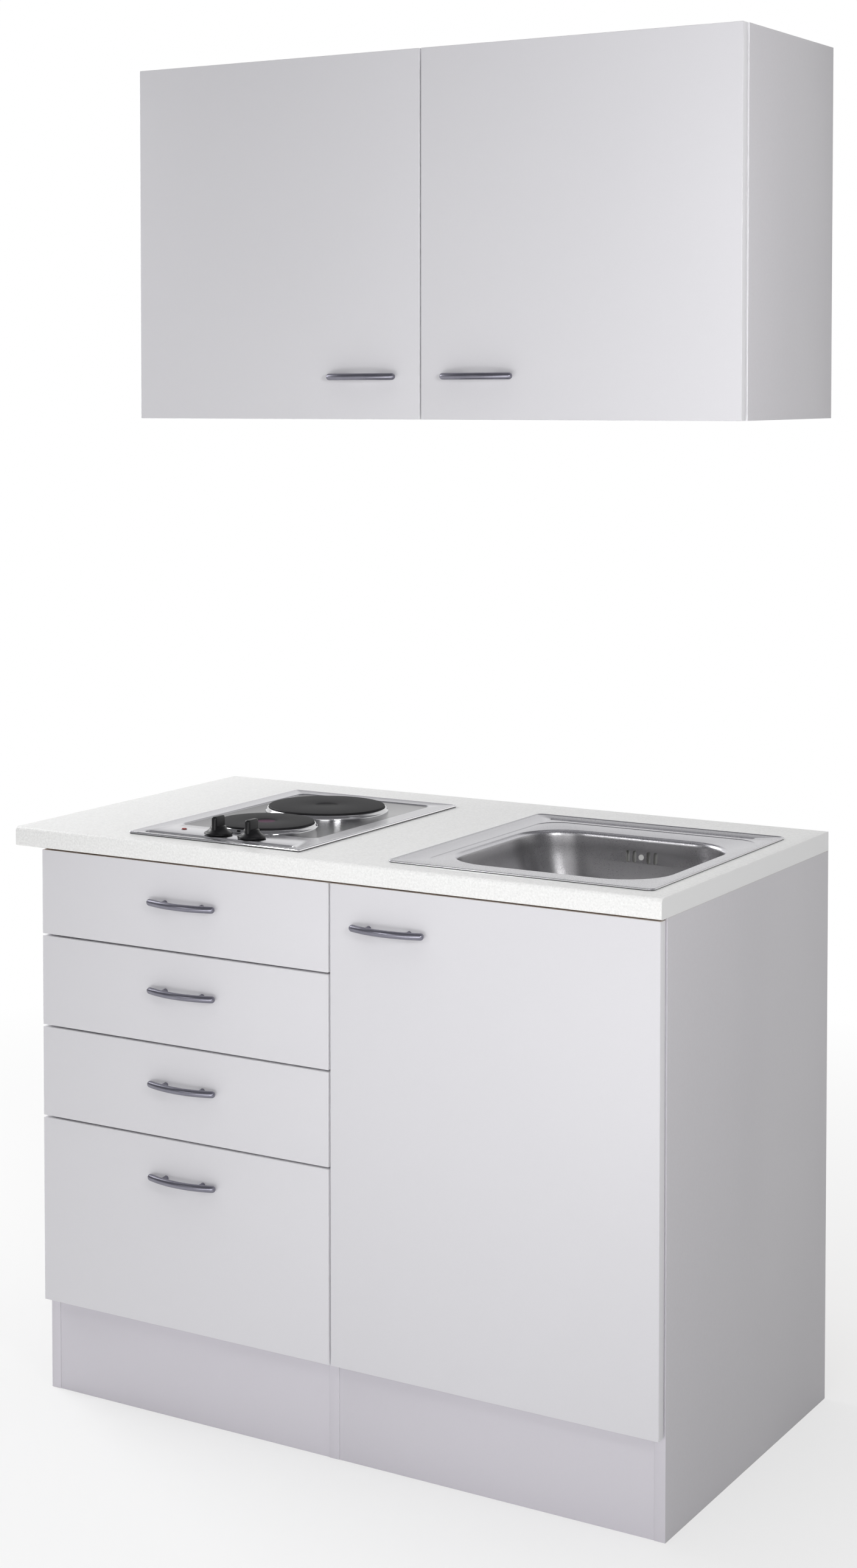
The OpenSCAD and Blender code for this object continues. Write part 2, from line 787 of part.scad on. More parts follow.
// housing behind the overflow slots and its pipe to the waste body
module overflow_duct() {
  y0 = overflow_y + sheet_t;
  yp = y0 + tube_r;
  w = duct_w / 2;
  h = duct_h / 2;
  run_y = drain_y + drain_r;
  color("whitesmoke") {
    difference() {
      union() {
        block([bowl_x - w, y0, overflow_z - h], [bowl_x + w, y0 + duct_t, overflow_z + h]);
        translate([bowl_x, yp, branch_z]) cylinder(r = tube_r, h = overflow_z - h + 1 - branch_z);
        translate([bowl_x, yp, branch_z]) sphere(tube_r);
        translate([bowl_x, run_y, branch_z]) rotate([-90, 0, 0])
          cylinder(r = tube_r, h = yp - run_y);
      }
      block([bowl_x - w + duct_wall, y0 - 1, overflow_z - h + duct_wall],
            [bowl_x + w - duct_wall, y0 + duct_t - duct_wall, overflow_z + h - duct_wall]);
      translate([bowl_x, yp, branch_z])
        cylinder(r = tube_r - tube_wall, h = overflow_z - branch_z);
      translate([bowl_x, run_y - 1, branch_z]) rotate([-90, 0, 0])
        cylinder(r = tube_r - tube_wall, h = yp - run_y + 1);
    }
    // fixing screw of the overflow plate, seen in the bowl
    translate([bowl_x, overflow_y - 2, overflow_z]) rotate([-90, 0, 0]) cylinder(r = 4, h = 1.9);
  }
}

// bottle trap: inlet pipe, body with side outlet, screwed cup and nuts
module bottle_trap() {
  tail_z = bowl_z - strainer_deep - 20;
  color("white") {
    translate([bowl_x, drain_y, trap_z]) difference() {
      union() {
        translate([0, 0, trap_cup_h]) cylinder(r = trap_r, h = trap_body_top - trap_cup_h);
        translate([0, 0, trap_body_top])
          cylinder(r = tail_r + 4, h = tail_z - trap_z - trap_body_top);
        translate([0, trap_r - 4, trap_out_h]) rotate([-90, 0, 0])
          cylinder(r = waste_d / 2 + 5, h = 26);
      }
      translate([0, 0, trap_cup_h - 1]) cylinder(r = trap_r - 3, h = trap_body_top - 35);
      translate([0, 0, trap_body_top - 15]) cylinder(r = tail_r, h = tail_z);
      translate([0, trap_r - 8, trap_out_h]) rotate([-90, 0, 0])
        cylinder(r = waste_d / 2 + touch, h = 31);
    }
    translate([bowl_x, drain_y, trap_z]) difference() {
      cylinder(r = trap_r + 4, h = trap_cup_h - joint_clear);
      translate([0, 0, 3]) cylinder(r = trap_r - 3, h = trap_cup_h);
    }
  }
}

// the pipe from the trap, with a stop ring before the end that enters the drain
module waste_pipe() {
  y0 = drain_y + trap_r + 2;
  color("white") translate([bowl_x, y0, waste_h]) rotate([-90, 0, 0]) difference() {
    union() {
      cylinder(d = waste_d, h = y_back - y0);
      translate([0, 0, y_back - y0 - spigot_l - 12]) cylinder(r = waste_d / 2 + 4, h = 12);
    }
    translate([0, 0, -1]) cylinder(d = waste_d - 2 * pipe_wall, h = y_back - y0 + 2);
  }
}

tray_x = 28;                             // from the hob edge to its tray
tray_y0 = 90;
tray_deep = 2;
strip_x = 20;                            // pressed strip before the knobs
strip_y = 8;
strip_w = 16;
strip_deep = 0.5;
pilot_in_x = 60;                         // lamp from the left and front edges
pilot_in_y = 58;
pilot_x = hob_x0 + pilot_in_x;
pilot_y = hob_y0 + pilot_in_y;
pilot_r = 3;
far = 2000;                              // cuts right through

module plate_holes(d) {
  translate([plate_x, hob_y0 + plate_front_y, 0]) cylinder(r = plate_front_d / 2 + d, h = far);
  translate([plate_x, hob_y0 + plate_rear_y, 0]) cylinder(r = plate_rear_d / 2 + d, h = far);
}

module knob_places() {
  for (k = [0, 1]) translate([hob_x0 + knob_x + k * knob_pitch, hob_y0 + knob_y, 0]) children();
}

// pressed steel plate with a sloped rim, a tray and two raised plate seats
module hob_top() {
  seat = collar_w + 1.5;
  z = top_z;
  h = hob_rim;
  x1 = hob_x0 + hob_w;
  y1 = hob_y0 + inset_d;
  color("silver") difference() {
    union() {
      difference() {
        block([hob_x0, hob_y0, z], [x1, y1, z + h]);
        block([hob_x0 + tray_x, hob_y0 + tray_y0, z + h - tray_deep],
              [x1 - tray_x, y1 - tray_x, z + h + 1]);
      }
      intersection() {
        plate_holes(seat);
        block([hob_x0 + 10, hob_y0, z + 1], [x1 - 10, y1, z + h]);
      }
    }
    // hollow underside
    difference() {
      block([hob_x0 + inset_lap, hob_y0 + inset_lap, z - 1],
            [x1 - inset_lap, y1 - inset_lap, z + h - hob_sheet]);
      block([hob_x0 + tray_x - 1, hob_y0 + tray_y0 - 1, z + h - tray_deep - hob_sheet],
            [x1 - tray_x + 1, y1 - tray_x + 1, z + h]);
    }
    plate_holes(collar_w);
    knob_places() translate([0, 0, z - 1]) cylinder(r = 5, h = 10);
    translate([pilot_x, pilot_y, z - 1]) cylinder(r = pilot_r + joint_clear, h = 10);
    translate([hob_x0 + strip_x, hob_y0 + strip_y, z + h - strip_deep]) linear_extrude(2)
      round_rect(hob_w - 2 * strip_x, strip_w, 3.9);
    for (s = [0, 1]) bevel_cut(s);
  }
}

// slope along the four edges of the hob plate
module bevel_cut(s) {
  c = hob_rim - 1;
  l = s == 0 ? hob_w : inset_d;
  w = s == 0 ? inset_d : hob_w;
  for (e = [0, 1])
    translate([hob_x0 + (s == 1 ? e * hob_w : 0), hob_y0 + (s == 0 ? e * inset_d : 0), top_z + 1])
      rotate([90, 0, s == 0 ? 90 : 180]) translate([0, 0, -1])
        linear_extrude(l + 2)
          polygon(e == 0 && s == 0 || e == 1 && s == 1
            ? [[-1, 0], [0, 0], [c, c], [c, c + 1], [-1, c + 1]]
            : [[1, 0], [0, 0], [-c, c], [-c, c + 1], [1, c + 1]]);
}

// sheet steel housing under the hob plate, open at the top
module hob_body() {
  g = inset_lap + inset_clear;
  x1 = hob_x0 + hob_w;
  y1 = hob_y0 + inset_d;
  zb = top_z - hob_deep;
  color("silver") difference() {
    block([hob_x0 + g, hob_y0 + g, zb], [x1 - g, y1 - g, top_z + hob_rim - hob_sheet]);
    block([hob_x0 + g + 1, hob_y0 + g + 1, zb + 1], [x1 - g - 1, y1 - g - 1, top_z + hob_rim]);
  }
}

// cast plate with a shallow dish in the middle and a terminal boss below
module hotplate(d, y) {
  color("dimgray") translate([plate_x, y, top_z + hob_rim + plate_up]) {
    difference() {
      translate([0, 0, -plate_t]) cylinder(d = d, h = plate_t, $fn = 96);
      translate([0, 0, -1]) cylinder(r = 18, h = 2);
      translate([0, 0, -plate_t - 1]) cylinder(d = d - 16, h = 5, $fn = 96);
    }
    translate([0, 0, -plate_t - 10]) cylinder(r = 15, h = 16);
  }
}

module hotplate_front() {
  hotplate(plate_front_d, hob_y0 + plate_front_y);
}

module hotplate_rear() {
  hotplate(plate_rear_d, hob_y0 + plate_rear_y);
}

module collar(d, y) {
  z = top_z + hob_rim;
  translate([plate_x, y, z]) difference() {
    union() {
      cylinder(r1 = d / 2 + collar_w + 1, r2 = d / 2 + 1.5, h = 5, $fn = 96);
      translate([0, 0, -3]) cylinder(r = d / 2 + collar_w - 0.2, h = 4, $fn = 96);
    }
    translate([0, 0, -4]) cylinder(r = d / 2 + joint_clear, h = 12, $fn = 96);
  }
}

module hotplate_collars() {
  color("lightgray") {
    collar(plate_front_d, hob_y0 + plate_front_y);
    collar(plate_rear_d, hob_y0 + plate_rear_y);
  }
}

shaft_r = 3;                             // switch shaft

// two rotary switches under the plate, with round shafts
module hob_switches() {
  color("whitesmoke") knob_places() {
    block([-17, -15, top_z - 32], [17, 15, top_z + hob_rim - hob_sheet]);
    translate([0, 0, top_z]) cylinder(r = shaft_r, h = hob_rim + 16);
  }
}

// knob: flared round skirt and an upright grip across it
module knob() {
  r = knob_d / 2;
  difference() {
    union() {
      cylinder(r1 = r, r2 = r - 2, h = 2.5);
      translate([0, 0, 2.5]) cylinder(r1 = r - 2, r2 = 11, h = 7);
      translate([0, 0, 9.5]) cylinder(r = 11, h = 3);
      intersection() {
        translate([-4.5, -r + 4, 3]) cube([9, 2 * r - 8, knob_h - 3]);
        cylinder(r1 = r, r2 = 12, h = knob_h + 1);
      }
    }
    translate([0, 0, -1]) cylinder(r = shaft_r + touch, h = 18);
  }
}

module knob_at(k) {
  color("black") translate([hob_x0 + knob_x + k * knob_pitch, hob_y0 + knob_y, knob_z]) knob();
}

module knob_front() knob_at(0);
module knob_rear() knob_at(1);

module pilot_lamp() {
  color("firebrick") translate([pilot_x, pilot_y, top_z]) {
    translate([0, 0, -8]) cylinder(r = pilot_r, h = 8 + hob_rim);
    translate([0, 0, hob_rim]) cylinder(r1 = pilot_r + 1.5, r2 = pilot_r, h = 1.5);
  }
}

terminal_w = 70;
terminal_d = 22;
gland_l = 9;                             // below the terminal box
gland_deep = 20;                         // bore for the cable

// connection box behind the hob housing, with the cable gland under it
module hob_terminal() {
  y0 = hob_y0 + inset_d - inset_lap - inset_clear;
  z0 = top_z - hob_deep + 1;
  color("dimgray") difference() {
    union() {
      block([plate_x - terminal_w / 2, y0, z0],
            [plate_x + terminal_w / 2, y0 + terminal_d, under_h - 1]);
      translate([plate_x, y0 + terminal_d / 2, z0 - gland_l])
        cylinder(r = gland_r + 2.5, h = gland_l + 1);
    }
    translate([plate_x, y0 + terminal_d / 2, z0 - gland_l - 1])
      cylinder(r = gland_r, h = gland_deep + 1);
  }
}

// hooks that pull the sink down on the worktop
module clip(x, y, dir) {
  w = 16;
  t = 1.5;
  drop = 10;                             // below the worktop
  translate([x, y, under_h - drop]) rotate([0, 0, dir]) {
    translate([-w / 2, -t, 0]) cube([w, t, top_t + drop - 0.5]);
    translate([-w / 2, -t, 0]) cube([w, w, t]);
    translate([0, 10, 1]) cylinder(r = 2, h = drop - 1);
  }
}

clip_in = 60;                            // clips from the sides of the sink
clip_y = [120, 360];                     // and from its front

module fixing_clips() {
  color("silver") {
    for (x = [sink_x0 + clip_in, sink_x1 - clip_in])
      clip(x, sink_y0 + inset_d - inset_lap - 1, 0);
    for (y = clip_y) clip(sink_x0 + inset_lap + 1, sink_y0 + y, 90);
  }
}

base_side_left();
base_side_right();
base_partition();
base_bottom_left();
base_bottom_right();
plinths();
base_back_left();
base_back_right();
top_rails();
worktop();
wall_side_left();
wall_side_right();
wall_top();
wall_bottom();
wall_back();
wall_shelf();
shelf_pins();
wall_hanging_rail();
wall_door_left();
wall_door_right();
sink_door();
wall_door_left_handle();
wall_door_right_handle();
sink_door_handle();
wall_door_left_cups();
wall_door_right_cups();
sink_door_cups();
wall_hinge_arms();
sink_hinge_arms();
drawer1_front();
drawer2_front();
drawer3_front();
drawer4_front();
drawer1_box();
drawer2_box();
drawer3_box();
drawer4_box();
drawer1_handle();
drawer2_handle();
drawer3_handle();
drawer4_handle();
guides_left();
guides_right();
sink();
strainer_body();
strainer_basket();
overflow_duct();
bottle_trap();
waste_pipe();
hob_top();
hob_body();
hotplate_front();
hotplate_rear();
hotplate_collars();
hob_switches();
knob_front();
knob_rear();
pilot_lamp();
hob_terminal();
fixing_clips();
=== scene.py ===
"""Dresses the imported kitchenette: fronts, worktop, hob, sink, handles and fittings, with their finishes.
Shapes are made in millimetres, in the CAD frame, and scaled to metres when a piece is finished."""

import json
from math import asin, cos, pi, radians, sin, sqrt

import bmesh
import bpy
from mathutils import Matrix, Vector


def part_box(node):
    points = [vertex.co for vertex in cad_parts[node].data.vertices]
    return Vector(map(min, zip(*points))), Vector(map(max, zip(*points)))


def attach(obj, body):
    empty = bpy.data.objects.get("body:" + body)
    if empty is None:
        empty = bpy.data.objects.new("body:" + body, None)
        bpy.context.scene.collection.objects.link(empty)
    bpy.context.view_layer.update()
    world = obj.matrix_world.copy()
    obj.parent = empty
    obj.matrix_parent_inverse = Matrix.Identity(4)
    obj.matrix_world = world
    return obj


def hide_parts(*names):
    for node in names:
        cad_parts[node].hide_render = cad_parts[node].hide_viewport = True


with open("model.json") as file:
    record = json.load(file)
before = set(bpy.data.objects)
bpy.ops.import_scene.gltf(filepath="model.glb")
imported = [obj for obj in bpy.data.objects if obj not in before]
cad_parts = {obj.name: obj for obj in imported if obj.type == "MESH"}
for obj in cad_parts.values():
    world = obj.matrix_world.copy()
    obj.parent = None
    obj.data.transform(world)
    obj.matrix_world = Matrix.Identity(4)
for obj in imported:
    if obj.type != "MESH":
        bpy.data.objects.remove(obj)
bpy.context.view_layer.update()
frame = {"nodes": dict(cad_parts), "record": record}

MM = 0.001
NODES = frame["nodes"]
BODY_OF = {n: b for b, members in frame["record"]["behaviour"]["bodies"].items() for n in members}

# ---------------------------------------------------------------- camera and light

IMAGE_H = 2576
FOCAL_PX = 4287
SENSOR_MM = 36
camera_data = bpy.data.cameras.new("photo_camera")
camera_data.sensor_width = SENSOR_MM
camera_data.lens = FOCAL_PX * SENSOR_MM / IMAGE_H
camera_data.shift_x = 0.1165
camera_data.shift_y = -0.1817
camera_data.clip_end = 60
camera = bpy.data.objects.new("photo_camera", camera_data)
bpy.context.scene.collection.objects.link(camera)
bpy.context.scene.camera = camera
CAMERA_AT = Vector((1.886, -3.367, 1.507))
YAW, PITCH, ROLL = radians(32.96), radians(-2.44), radians(-0.17)
level = Vector((-sin(YAW), cos(YAW), 0))
ahead = level * cos(PITCH) + Vector((0, 0, 1)) * sin(PITCH)
over = Vector((0, 0, 1)) * cos(PITCH) - level * sin(PITCH)
across = Vector((cos(YAW), sin(YAW), 0))
right = across * cos(ROLL) + over * sin(ROLL)
upward = over * cos(ROLL) - across * sin(ROLL)
aim = Matrix((right, upward, -ahead)).transposed().to_4x4()
camera.matrix_world = Matrix.Translation(CAMERA_AT) @ aim


def lamp(name, at, towards, size, watts, spread_deg=180):
    data = bpy.data.lights.new(name, "AREA")
    data.shape = "RECTANGLE"
    data.size, data.size_y = size
    data.energy = watts
    data.spread = radians(spread_deg)
    obj = bpy.data.objects.new(name, data)
    bpy.context.scene.collection.objects.link(obj)
    way = Vector(towards) - Vector(at)
    obj.matrix_world = Matrix.Translation(at) @ way.to_track_quat("-Z", "Y").to_matrix().to_4x4()


lamp("front_softbox", (1.3, -3.4, 1.3), (0.1, -0.2, 0.9), (1.6, 1.8), 19.5)
lamp("near_softbox", (2.0, -1.7, 1.75), (0.75, -0.1, 1.9), (0.5, 0.5), 8.5, 110)
lamp("fill_softbox", (-1.3, -3.1, 1.9), (0.3, 0.1, 0.75), (0.5, 0.5), 0.25, 24)
lamp("low_softbox", (0.4, -2.6, 0.35), (0.2, -0.3, 0.4), (1.6, 0.5), 11)
lamp("left_softbox", (-2.2, 0.15, 2.0), (0.1, 0, 0.85), (1.2, 1.2), 30)


# ---------------------------------------------------------------- shader helpers


class Value:
    """A shader socket that takes part in Python expressions."""

    def __init__(self, finish, socket):
        self.finish, self.socket = finish, socket

    def _math(self, operation, a, b):
        return self.finish.add("ShaderNodeMath", {"operation": operation}, a, b)

    def __add__(self, other):
        return self._math("ADD", self, other)

    def __sub__(self, other):
        return self._math("SUBTRACT", self, other)

    def __mul__(self, other):
        return self._math("MULTIPLY", self, other)

    def __gt__(self, other):
        return self._math("GREATER_THAN", self, other)

    def __rsub__(self, other):
        return self._math("SUBTRACT", other, self)

    __radd__, __rmul__ = __add__, __mul__

    def sine(self):
        return self.finish.add("ShaderNodeMath", {"operation": "SINE"}, self)

    def between(self, low, high):
        """0 at low and below, 1 at high and above."""
        return self.finish.add("ShaderNodeMapRange", {"clamp": True}, self, low, high, 0.0, 1.0)


class Finish:
    """A node tree in the making, of a material or of the world."""

    def __init__(self, owner):
        owner.use_nodes = True
        self.tree = owner.node_tree
        self.tree.nodes.clear()

    def add(self, kind, settings=None, *values, out=0, **named):
        """A new node; values go to its inputs in order, named ones by name. Its output numbered out."""
        node = self.tree.nodes.new(kind)
        for key, setting in (settings or {}).items():
            setattr(node, key, setting)
        pairs = [(node.inputs[i], v) for i, v in enumerate(values) if v is not None]
        pairs += [(node.inputs[k.replace("_", " ")], v) for k, v in named.items()]
        for socket, value in pairs:
            if isinstance(value, Value):
                self.tree.links.new(value.socket, socket)
            elif isinstance(value, tuple) and len(value) == 3 and len(socket.default_value) == 4:
                socket.default_value = (*value, 1)
            else:
                socket.default_value = value
        return Value(self, node.outputs[out]) if node.outputs else None

    def mix(self, factor, a, b):
        """From colour a at factor 0 to colour b at factor 1."""
        node = self.tree.nodes.new("ShaderNodeMix")
        node.data_type = "RGBA"
        for index, value in ((0, factor), (6, a), (7, b)):
            if isinstance(value, Value):
                self.tree.links.new(value.socket, node.inputs[index])
            else:
                node.inputs[index].default_value = (*value, 1) if index else value
        return Value(self, node.outputs[2])

    def place(self, scale=(1, 1, 1), move=(0, 0, 0)):
        """Object coordinates in metres, scaled per axis and moved."""
        where = self.add("ShaderNodeTexCoord", None, out="Object")
        return self.add("ShaderNodeMapping", None, where, move, (0, 0, 0), scale)

    def axis(self, where, index):
        return self.add("ShaderNodeSeparateXYZ", None, where, out=index)

    def noise(self, where, scale, detail=2.0, rough=0.5):
        return self.add("ShaderNodeTexNoise", None, Vector=where, Scale=scale, Detail=detail,
                        Roughness=rough)

    def bump(self, height, distance, strength=1.0):
        return self.add("ShaderNodeBump", None, Strength=strength, Distance=distance, Height=height)


def srgb(r, g, b):
    """A colour as its screen values from 0 to 255, made linear."""
    return tuple(((v / 255 + 0.055) / 1.055) ** 2.4 if v > 10 else v / 255 / 12.92 for v in (r, g, b))


def shade(colour, factor):
    """A colour made darker or lighter."""
    return tuple(min(1, c * factor) for c in colour)


MADE = {}


def material(name, build):
    """Makes a material once. build gets the finish and returns the sockets of the surface."""
    if name not in MADE:
        mat = bpy.data.materials.new(name)
        finish = Finish(mat)
        sockets = build(finish)
        surface = finish.add("ShaderNodeBsdfPrincipled", None, **sockets)
        finish.add("ShaderNodeOutputMaterial", None, surface)
        MADE[name] = mat
    return MADE[name]


# ---------------------------------------------------------------- finishes


def melamine(colour, speckle=0.02, grain_mm=1.4, rough=0.42):
    """Coated board: a fine printed grain, a faint cloud and a slight orange peel."""
    def build(f):
        at = f.place()
        grain = f.noise(at, 1000 / grain_mm, 1.0)
        cloud = f.noise(at, 5.0, 2.0)
        tone = (grain - 0.5) * (speckle * 6) + (cloud - 0.5) * 0.05 + 0.5
        peel = f.noise(at, 700.0, 1.0)
        return dict(Base_Color=f.mix(tone, shade(colour, 0.90), shade(colour, 1.10)),
                    Roughness=rough + (cloud - 0.5) * 0.10 + (grain - 0.5) * 0.08,
                    Specular_IOR_Level=0.45,
                    Normal=f.bump(peel, 0.00004, 0.5))
    return build


def chipboard(f):
    """Cut edge of particle board: pressed flakes in warm tones."""
    flakes = f.add("ShaderNodeTexVoronoi", None, Vector=f.place((1, 1, 1.6)), Scale=420.0, out="Color")
    tone = f.axis(flakes, 0)
    fine = f.noise(f.place(), 900.0, 3.0)
    colour = f.mix(tone, srgb(150, 118, 82), srgb(206, 176, 134))
    return dict(Base_Color=f.mix(fine * 0.5, colour, srgb(120, 92, 62)), Roughness=0.85,
                Normal=f.bump(fine + tone * 0.5, 0.0004, 0.8))


def hardboard(f):
    """Thin fibreboard: coated pale to the front and raw brown to the back."""
    normal = f.add("ShaderNodeNewGeometry", None, out="Normal")
    rear = f.axis(normal, 1) > 0.5
    fibre = f.noise(f.place((1, 1, 3)), 260.0, 4.0)
    raw = f.mix(fibre, srgb(128, 96, 66), srgb(160, 124, 88))
    coat = f.mix(fibre, srgb(222, 221, 224), srgb(230, 229, 232))
    return dict(Base_Color=f.mix(rear, coat, raw), Roughness=0.5 + rear * 0.3,
                Normal=f.bump(fibre, 0.0001, 0.5))


def worktop_laminate(f):
    """Off-white laminate with a soft pearl fleck."""
    at = f.place()
    fleck = f.noise(at, 330.0, 2.0, 0.6)
    fine = f.noise(at, 1100.0, 1.0)
    tone = (fleck - 0.5) * 1.6 + (fine - 0.5) * 0.8 + 0.5
    return dict(Base_Color=f.mix(tone.between(0.1, 0.9), srgb(232, 232, 231), srgb(254, 254, 253)),
                Roughness=0.36 + (fleck - 0.5) * 0.2,
                Specular_IOR_Level=0.4,
                Normal=f.bump(fine, 0.00005, 0.6))


def satin_metal(colour, rough, streak=(1, 1, 1), streak_scale=900.0, depth=0.00002, spread=0.12):
    """Metal with a fine directional or even grain."""
    def build(f):
        grain = f.noise(f.place(streak), streak_scale, 3.0, 0.6)
        cloud = f.noise(f.place(), 14.0, 2.0)
        tone = (grain - 0.5) * 0.9 + (cloud - 0.5) * 0.3 + 0.5
        return dict(Base_Color=f.mix(tone.between(0.0, 1.0), shade(colour, 0.86), shade(colour, 1.12)),
                    Metallic=1.0,
                    Roughness=rough + (grain - 0.5) * spread + (cloud - 0.5) * 0.06,
                    Normal=f.bump(grain, depth, 0.6))
    return build


def handle_lacquer(f):
    """Dark gunmetal lacquer of the handles."""
    at = f.place()
    grain = f.noise(at, 1500.0, 2.0)
    cloud = f.noise(at, 60.0, 1.0)
    return dict(Base_Color=f.mix(cloud, srgb(122, 121, 132), srgb(142, 141, 152)), Metallic=0.9,
                Roughness=0.30 + (grain - 0.5) * 0.14, Normal=f.bump(grain, 0.00003, 0.4))


def plastic(colour, rough=0.4, grain=0.00004, level=0.5):
    def build(f):
        at = f.place()
        pebble = f.noise(at, 1600.0, 2.0)
        cloud = f.noise(at, 40.0, 1.0)
        return dict(Base_Color=f.mix(cloud, shade(colour, 0.92), shade(colour, 1.08)),
                    Roughness=rough + (pebble - 0.5) * 0.12, Specular_IOR_Level=level,
                    Normal=f.bump(pebble, grain, 0.5))
    return build


def cast_plate(centre_x, centre_y, spot):
    """Black coated iron with turned rings; spot adds the red mark in the dish."""
    def build(f):
        at = f.place(move=(-centre_x * MM, -centre_y * MM, 0))
        radius = f.add("ShaderNodeVectorMath", {"operation": "LENGTH"},
                       f.add("ShaderNodeCombineXYZ", None, f.axis(at, 0), f.axis(at, 1), 0.0),
                       out="Value")
        rings = (radius * 4200.0).sine() * 0.5 + 0.5
        pits = f.noise(at, 1300.0, 3.0)
        iron = f.mix(pits, srgb(18, 18, 20), srgb(38, 37, 40))
        if spot:
            edge = radius + (pits - 0.5) * 0.001
            iron = f.mix(1 - edge.between(0.0130, 0.0140), iron, srgb(74, 32, 62))
        return dict(Base_Color=iron, Roughness=0.62 + (pits - 0.5) * 0.3,
                    Specular_IOR_Level=0.22,
                    Normal=f.bump(rings * 0.7 + pits * 0.5, 0.00012, 0.5))
    return build


FRONT = material("front_melamine", melamine(srgb(223, 222, 226)))
SIDE = material("side_melamine", melamine(srgb(212, 210, 214), speckle=0.05, grain_mm=2.6))
INNER = material("inner_melamine", melamine(srgb(226, 225, 229)))
STRIP = material("edge_strip", melamine(srgb(238, 237, 240), speckle=0.008, rough=0.35))
PLINTH = material("plinth_melamine", melamine(srgb(214, 211, 218)))
CHIP = material("chipboard_edge", chipboard)
HARD = material("back_hardboard", hardboard)
LAMINATE = material("worktop_laminate", worktop_laminate)
LAMINATE_EDGE = material("worktop_end", melamine(srgb(250, 250, 250), speckle=0.012, rough=0.4))
GUNMETAL = material("handle_lacquer", handle_lacquer)
PRESSED = dict(streak_scale=1300.0, depth=0.00012, spread=0.24)
BRUSHED = dict(streak=(1, 14, 14), streak_scale=240.0)
SINK_STEEL = material("sink_steel", satin_metal((0.55, 0.545, 0.57), 0.28, **PRESSED))
# the bowl's steel is a darker copy of the sink steel: painted shade inside the bowl
SHADED_BOWL_STEEL = material("bowl_steel_painted_shade", satin_metal((0.37, 0.365, 0.375), 0.30, **PRESSED))
HOB_STEEL = material("hob_steel", satin_metal((0.62, 0.615, 0.64), 0.24, **BRUSHED))
# the hob's sunk tray gets this much darker steel: a painted dark reflection
DARKENED_TRAY_STEEL = material("hob_tray_painted_reflection", satin_metal((0.14, 0.138, 0.145), 0.20, **BRUSHED))
SHEET_STEEL = material("zinc_sheet", satin_metal((0.50, 0.50, 0.51), 0.42, streak_scale=160.0))
NICKEL = material("hinge_nickel", satin_metal((0.62, 0.60, 0.57), 0.24))
# bright, smooth steel for the rims' upright outer faces: a painted highlight
ROLLED_EDGE_HIGHLIGHT = material("rolled_edge_painted_highlight", satin_metal((0.88, 0.88, 0.89), 0.16, depth=0.00001, spread=0.06))
POLISHED = material("collar_steel", satin_metal((0.55, 0.55, 0.56), 0.12, depth=0.00001))
BLACK = material("knob_black", plastic(srgb(17, 17, 19), 0.34, level=0.3))
# matt black of the hob terminal, also the painted shade of the sealing strips under the rims
MATT_BLACK_AND_PAINTED_SHADE = material("terminal_black_and_painted_shade", plastic(srgb(38, 38, 40), 0.55))
WHITE = material("white_plastic", plastic(srgb(226, 226, 224), 0.42))
RED = material("lamp_red", lambda f: dict(
    Base_Color=f.mix(f.noise(f.place(), 900.0), srgb(120, 22, 20), srgb(168, 40, 34)),
    Roughness=0.18, Coat_Weight=0.6))


# ---------------------------------------------------------------- modelling helpers

MERGE = 0.01        # vertices nearer than this are one
FLAT_DEG = 0.8      # faces that meet at less than this are one


def cad_copy(node):
    """A merged copy of a CAD node's mesh, in millimetres, with its flat faces joined."""
    bm = bmesh.new()
    bm.from_mesh(NODES[node].data)
    bmesh.ops.scale(bm, vec=(1 / MM,) * 3, verts=bm.verts)
    bmesh.ops.remove_doubles(bm, verts=bm.verts, dist=MERGE)
    bmesh.ops.dissolve_limit(bm, angle_limit=radians(FLAT_DEG), verts=bm.verts, edges=bm.edges)
    return bm


def convex_edges(bm, over_deg, longer):
    """Outward edges that bend by more than over_deg and are longer than longer."""
    return [e for e in bm.edges if len(e.link_faces) == 2 and e.calc_length() > longer
            and e.calc_face_angle_signed(0) > radians(over_deg)]


def round_edges(bm, edges, offset, segments=2):
    """Eases the edges."""
    bmesh.ops.bevel(bm, geom=edges, offset=offset, segments=segments, profile=0.5,
                    affect="EDGES", material=-1, clamp_overlap=True)


def finished(bm, name, node, mats, smooth_deg=32):
    """Makes the piece, in metres, standing for its CAD node and riding on that node's body."""
    for face in bm.faces:
        face.smooth = True
    for edge in bm.edges:
        if len(edge.link_faces) == 2:
            edge.smooth = edge.calc_face_angle(0) < radians(smooth_deg)
    bmesh.ops.scale(bm, vec=(MM,) * 3, verts=bm.verts)
    mesh = bpy.data.meshes.new(name)
    bm.to_mesh(mesh)
    bm.free()
    for mat in mats:
        mesh.materials.append(mat)
    obj = bpy.data.objects.new(name, mesh)
    bpy.context.scene.collection.objects.link(obj)
    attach(obj, BODY_OF[node])
    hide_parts(node)


def outline(bm, box, inset, radius, z, steps=8):
    """The edges of a level outline with round corners, drawn in by inset from box."""
    x0, y0, x1, y1 = box
    middle = Vector(((x0 + x1) / 2, (y0 + y1) / 2, z))
    spread = Vector((x1 - x0 - 2 * inset, y1 - y0 - 2 * inset, 1))
    made = bmesh.ops.create_grid(bm, x_segments=1, y_segments=1, size=0.5,
                                 matrix=Matrix.LocRotScale(middle, None, spread))
    cut = bmesh.ops.bevel(bm, geom=made["verts"], offset=radius, segments=steps, profile=0.5,
                          affect="VERTICES", material=-1)
    face = cut["verts"][0].link_faces[0]
    edges = list(face.edges)
    bmesh.ops.delete(bm, geom=[face], context="FACES_ONLY")
    return edges


